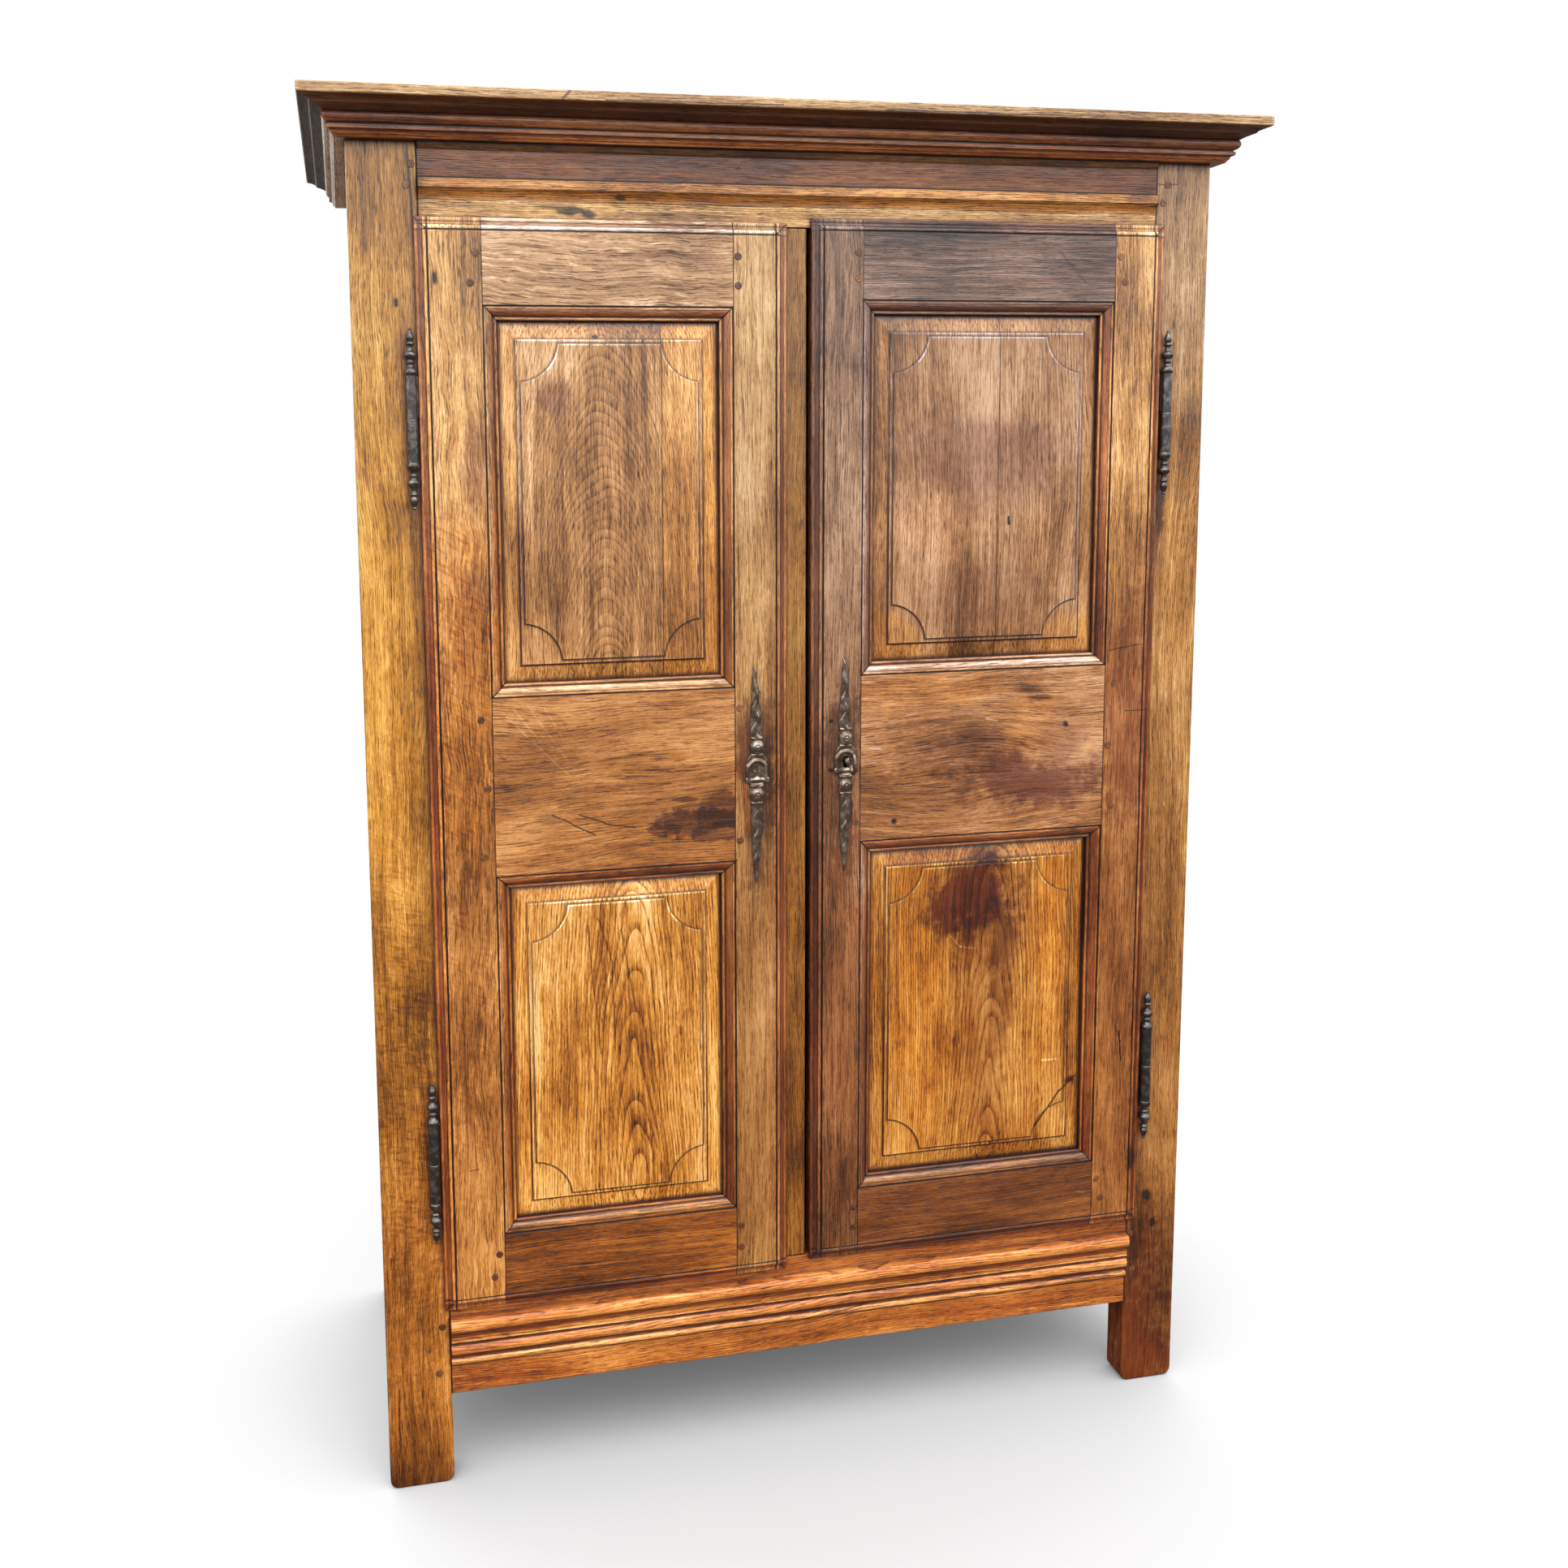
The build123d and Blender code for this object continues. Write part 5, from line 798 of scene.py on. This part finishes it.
# The horseshoe arch about the keyhole, its two feet, and the crossbar between them.
ARCH_TOP = 21
ARCH_FOOT = -22
ARCH_FLAT = 2.0
ARCH_RADIUS = 13.0
ARCH_HALF = 3.0
ARCH_RISE = 2.7
ARCH_LEG = -14
FOOT_START = 11.6
FOOT_HALF = 3.4
FOOT_RISE = 4.2
CROSSBAR = -16
BAR_HALF = 2.6
BAR_RISE = 1.9
KEYHOLE_RADIUS = 5
KEYHOLE_SLOT = 2.5
KEYHOLE_FOOT = -12
# The keyholes' x and z in metres.
KEYHOLES = {"left": (-0.076, 1.083), "right": (0.063, 1.090)}
ROW = 0.75
COLUMNS = 28
# A nail's radius and how proud it stands, from its rim to its pip.
NAIL_PROFILE = ((10.5, 0), (10.4, 1.2), (9.8, 2.1), (8.9, 2.3), (8.4, 1.9), (7.8, 2.6), (6.2, 3.7),
                (4.4, 4.3), (3.4, 4.4), (2.8, 3.9), (2.2, 4.6), (1.2, 5.1), (0, 5.2))
NAIL_SEAT = 2.5
NAILS = (34.0, -39.0)
SEGMENTS = 40
NAIL_LOBES = 0.02  # how far a hand-made head is out of round, as shares of its radius
NAIL_RIPPLE = 0.012
SAME_PLACE = 2e-5  # metres


def edge_at(edge, height):
    """How far across an escutcheon's edge lies, at a height in mm above the keyhole."""
    for (x0, z0), (x1, z1) in zip(edge, edge[1:]):
        if z1 <= height <= z0 and z0 > z1:
            return x0 + (x1 - x0) * (z0 - height) / (z0 - z1)
    return edge[-1][0]


def hump(away, half):
    """A rounded ridge: 1 along its middle and 0 beyond half."""
    return math.sqrt(max(0.0, 1 - (away / half) ** 2))


def in_keyhole(x, z):
    """Whether a point in mm about the keyhole's eye lies in its eye or its slot."""
    return math.hypot(x, z) < KEYHOLE_RADIUS or (abs(x) < KEYHOLE_SLOT and KEYHOLE_FOOT < z < 0)


def plate_height(x, z, share, width, pierced):
    """How proud the plate stands, in mm, at x and z about the keyhole; share runs from -1 to 1."""
    if in_keyhole(x, z):
        return 0.0 if pierced else 1.0
    height = PLATE_RIM + min(DOME_LIMIT, DOME_SHARE * width) * (1 - share * share)
    if BLADE_FOOT < z < PLATE_TOP or z < LEAF_TOP:
        vein = hump(share - VEIN_SWAY * math.sin(z * VEIN_WAVE), VEIN_HALF)
        height = min(PLATE_LIMIT, 0.9 * height + VEIN_RISE * vein)
    for collar in COLLARS:
        fade = math.sqrt(max(0.0, 1 - share ** 4))
        height = max(height, PLATE_RIM + COLLAR_RISE * hump(z - collar, COLLAR_HALF) * fade)
    if ARCH_FOOT < z < ARCH_TOP:
        height = ARCH_FLAT
        if z > ARCH_LEG:
            ring = math.hypot(x, z) if z > 0 else abs(x)
            height = max(height, ARCH_FLAT + ARCH_RISE * hump(ring - ARCH_RADIUS, ARCH_HALF))
        if abs(z - CROSSBAR) < FOOT_HALF and abs(x) > FOOT_START:
            height = max(height, FOOT_RISE)
        elif abs(z - CROSSBAR) < FOOT_HALF:
            height = max(height, ARCH_FLAT + BAR_RISE * hump(z - CROSSBAR, BAR_HALF))
    return height


def part_piece(name, mesh, node, material):
    """Turn a bmesh into a piece that stands for a CAD node and rides on its door."""
    bmesh.ops.recalc_face_normals(mesh, faces=mesh.faces)
    data = bpy.data.meshes.new(name)
    mesh.to_mesh(data)
    mesh.free()
    for face in data.polygons:
        face.use_smooth = True
    data.materials.append(material)
    piece = add(name, data)
    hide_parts(node)
    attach(piece, node.split("_")[0] + "_door")


def plate_grid(keyhole, pierced, mesh):
    """Two grids of vertices: the plate's wrought front and its flat back on the door."""
    fronts, backs = [], []
    rows = int((PLATE_TOP - PLATE_FOOT) / ROW)
    for row in range(rows + 1):
        z = PLATE_TOP - (PLATE_TOP - PLATE_FOOT) * row / rows
        left, right = edge_at(EDGE_LEFT, z), edge_at(EDGE_RIGHT, z)
        front, back = [], []
        for column in range(COLUMNS + 1):
            share = 2 * column / COLUMNS - 1
            x = (left + right) / 2 + share * (right - left) / 2
            height = plate_height(x, z, share, right - left, pierced)
            where = (keyhole[0] + x / 1000, DOOR_FACE, keyhole[1] + z / 1000)
            back.append(mesh.verts.new(where))
            front.append(mesh.verts.new((where[0], DOOR_FACE - height / 1000, where[2])))
        fronts.append(front)
        backs.append(back)
    return fronts, backs


def opened(quad, keyhole):
    """Whether a face lies flat against the door inside the keyhole."""
    return all(abs(vert.co.y - DOOR_FACE) < 1e-6
               and in_keyhole(1000 * (vert.co.x - keyhole[0]), 1000 * (vert.co.z - keyhole[1]))
               for vert in quad.verts)


def escutcheon(node, keyhole, pierced, material):
    """A wrought plate as a closed height field; a pierced one is cut away at its keyhole."""
    mesh = bmesh.new()
    fronts, backs = plate_grid(keyhole, pierced, mesh)
    rows = len(fronts) - 1
    for row in range(rows):
        for column in range(COLUMNS):
            for grid in (fronts, backs):
                mesh.faces.new((grid[row][column], grid[row][column + 1],
                                grid[row + 1][column + 1], grid[row + 1][column]))
        for side in (0, COLUMNS):
            mesh.faces.new((fronts[row][side], fronts[row + 1][side],
                            backs[row + 1][side], backs[row][side]))
    for end in (0, rows):
        for column in range(COLUMNS):
            mesh.faces.new((fronts[end][column], fronts[end][column + 1],
                            backs[end][column + 1], backs[end][column]))
    if pierced:
        through = [quad for quad in mesh.faces if opened(quad, keyhole)]
        bmesh.ops.delete(mesh, geom=through, context="FACES")
    bmesh.ops.remove_doubles(mesh, verts=mesh.verts, dist=SAME_PLACE)
    part_piece(f"{node}_relief", mesh, node, material)


def nail_heads(node, keyhole, material):
    """Domed nail heads with a pip in the middle, seated on the plate."""
    mesh = bmesh.new()
    for index, height in enumerate(NAILS):
        rings = []
        for radius, proud in NAIL_PROFILE[:-1]:
            ring = []
            for step in range(SEGMENTS):
                angle = 2 * math.pi * step / SEGMENTS
                reach = radius * (1 + NAIL_LOBES * math.sin(3 * angle + index)
                                  + NAIL_RIPPLE * math.sin(7 * angle))
                ring.append(mesh.verts.new((keyhole[0] + reach * math.cos(angle) / 1000,
                                            DOOR_FACE - (NAIL_SEAT + proud) / 1000,
                                            keyhole[1] + (height + reach * math.sin(angle)) / 1000)))
            rings.append(ring)
        tip = mesh.verts.new((keyhole[0], DOOR_FACE - (NAIL_SEAT + NAIL_PROFILE[-1][1]) / 1000,
                              keyhole[1] + height / 1000))
        for low, high in zip(rings, rings[1:]):
            for step in range(SEGMENTS):
                after = (step + 1) % SEGMENTS
                mesh.faces.new((low[step], low[after], high[after], high[step]))
        for step in range(SEGMENTS):
            mesh.faces.new((rings[-1][step], rings[-1][(step + 1) % SEGMENTS], tip))
        mesh.faces.new(rings[0])
    part_piece(f"{node}_domes", mesh, node, material)


hinge_iron = iron("hinge_iron", "4e4a48", "b8b4b0", 0.22, 0.25)
plate_iron = iron("plate_iron", "6f5a4a", "ece0d2", 0.22, 0.2, 0.85)
lock_iron = iron("lock_iron", "3a332e", "6b6058", 0.55, 0.8)
for name in ("hinge_lower_halves", "left_hinge_halves", "right_hinge_halves"):
    use(name, hinge_iron)
use("key", plate_iron)
for side, keyhole in KEYHOLES.items():
    escutcheon(f"{side}_escutcheon", keyhole, side == "right", plate_iron)
    nail_heads(f"{side}_escutcheon_nails", keyhole, plate_iron)
for name in ("lock_case", "lock_strike", "lock_bolt", "upper_bolt", "lower_bolt", "bolt_plates"):
    use(name, lock_iron)


# ---------------------------------------- floor, light and camera
SKY = 2.6
FOCAL_LENGTH = 31.68
LENS_SHIFT = (0.1119, -0.1009)
EYE = (-0.6677, -2.1911, 1.5320)
LOOK = (83.5064, 0.8143, -10.8316)  # degrees about x, y and z


def stage_floor():
    """A plain pale floor, which throws little light back up, as grass would."""
    mesh = bpy.data.meshes.new("floor")
    reach = 14.0
    mesh.from_pydata([(-reach, -reach, 0), (reach, -reach, 0), (reach, reach, 0), (-reach, reach, 0)], [],
                     [(0, 1, 2, 3)])
    g = Graph(bpy.data.materials.new("floor_paint"))
    pale = g.mix(g.noise(g.place(), 0.6, 3.0), (0.47, 0.47, 0.47), (0.49, 0.49, 0.49))
    seen = g.node("ShaderNodeLightPath").outputs["Is Camera Ray"]
    mesh.materials.append(g.finish(Base_Color=g.mix(seen, (0.10, 0.09, 0.08), pale), Roughness=0.9,
                                   Specular_IOR_Level=0.0))
    add("floor", mesh)


def softbox(name, place, target, wide, high, power):
    """A rectangular area light aimed at a point."""
    lamp = bpy.data.lights.new(name, "AREA")
    lamp.shape = "RECTANGLE"
    lamp.size = wide
    lamp.size_y = high
    lamp.energy = power
    light = add(name, lamp)
    light.location = place
    light.rotation_euler = (Vector(target) - Vector(place)).to_track_quat("-Z", "Y").to_euler()


def sky():
    """A bright even sky over dark ground; the background that the camera sees is white."""
    world = bpy.data.worlds.new("studio")
    bpy.context.scene.world = world
    g = Graph(world)
    height = g.split(g.node("ShaderNodeTexCoord").outputs["Generated"])[2]
    light = g.ramp(height, ((0.0, (0.05, 0.045, 0.04)), (0.06, (0.70, 0.73, 0.76)),
                            (0.45, (0.86, 0.88, 0.90)), (1.0, (1.0, 1.0, 1.0))))
    fill = g.node("ShaderNodeBackground", {"Color": light, "Strength": SKY}).outputs[0]
    white = g.node("ShaderNodeBackground", {"Color": (1.0, 1.0, 1.0)}).outputs[0]
    seen = g.node("ShaderNodeLightPath").outputs["Is Camera Ray"]
    both = g.node("ShaderNodeMixShader", {0: seen, 1: fill, 2: white}).outputs[0]
    g.node("ShaderNodeOutputWorld", {0: both})


def camera():
    """The viewpoint: a little left of the middle, at eye height, looking slightly down and right."""
    lens = bpy.data.cameras.new("view")
    lens.sensor_width = 36.0
    lens.lens = FOCAL_LENGTH
    lens.shift_x, lens.shift_y = LENS_SHIFT
    lens.clip_start = 0.05
    view = add("view", lens)
    view.location = EYE
    view.rotation_euler = [math.radians(angle) for angle in LOOK]
    bpy.context.scene.camera = view


stage_floor()
sky()
softbox("top_box", (-0.3, -2.6, 4.2), (0.0, -0.2, 1.0), 4.0, 2.4, 60)
camera()
bpy.context.scene.view_settings.view_transform = "Standard"
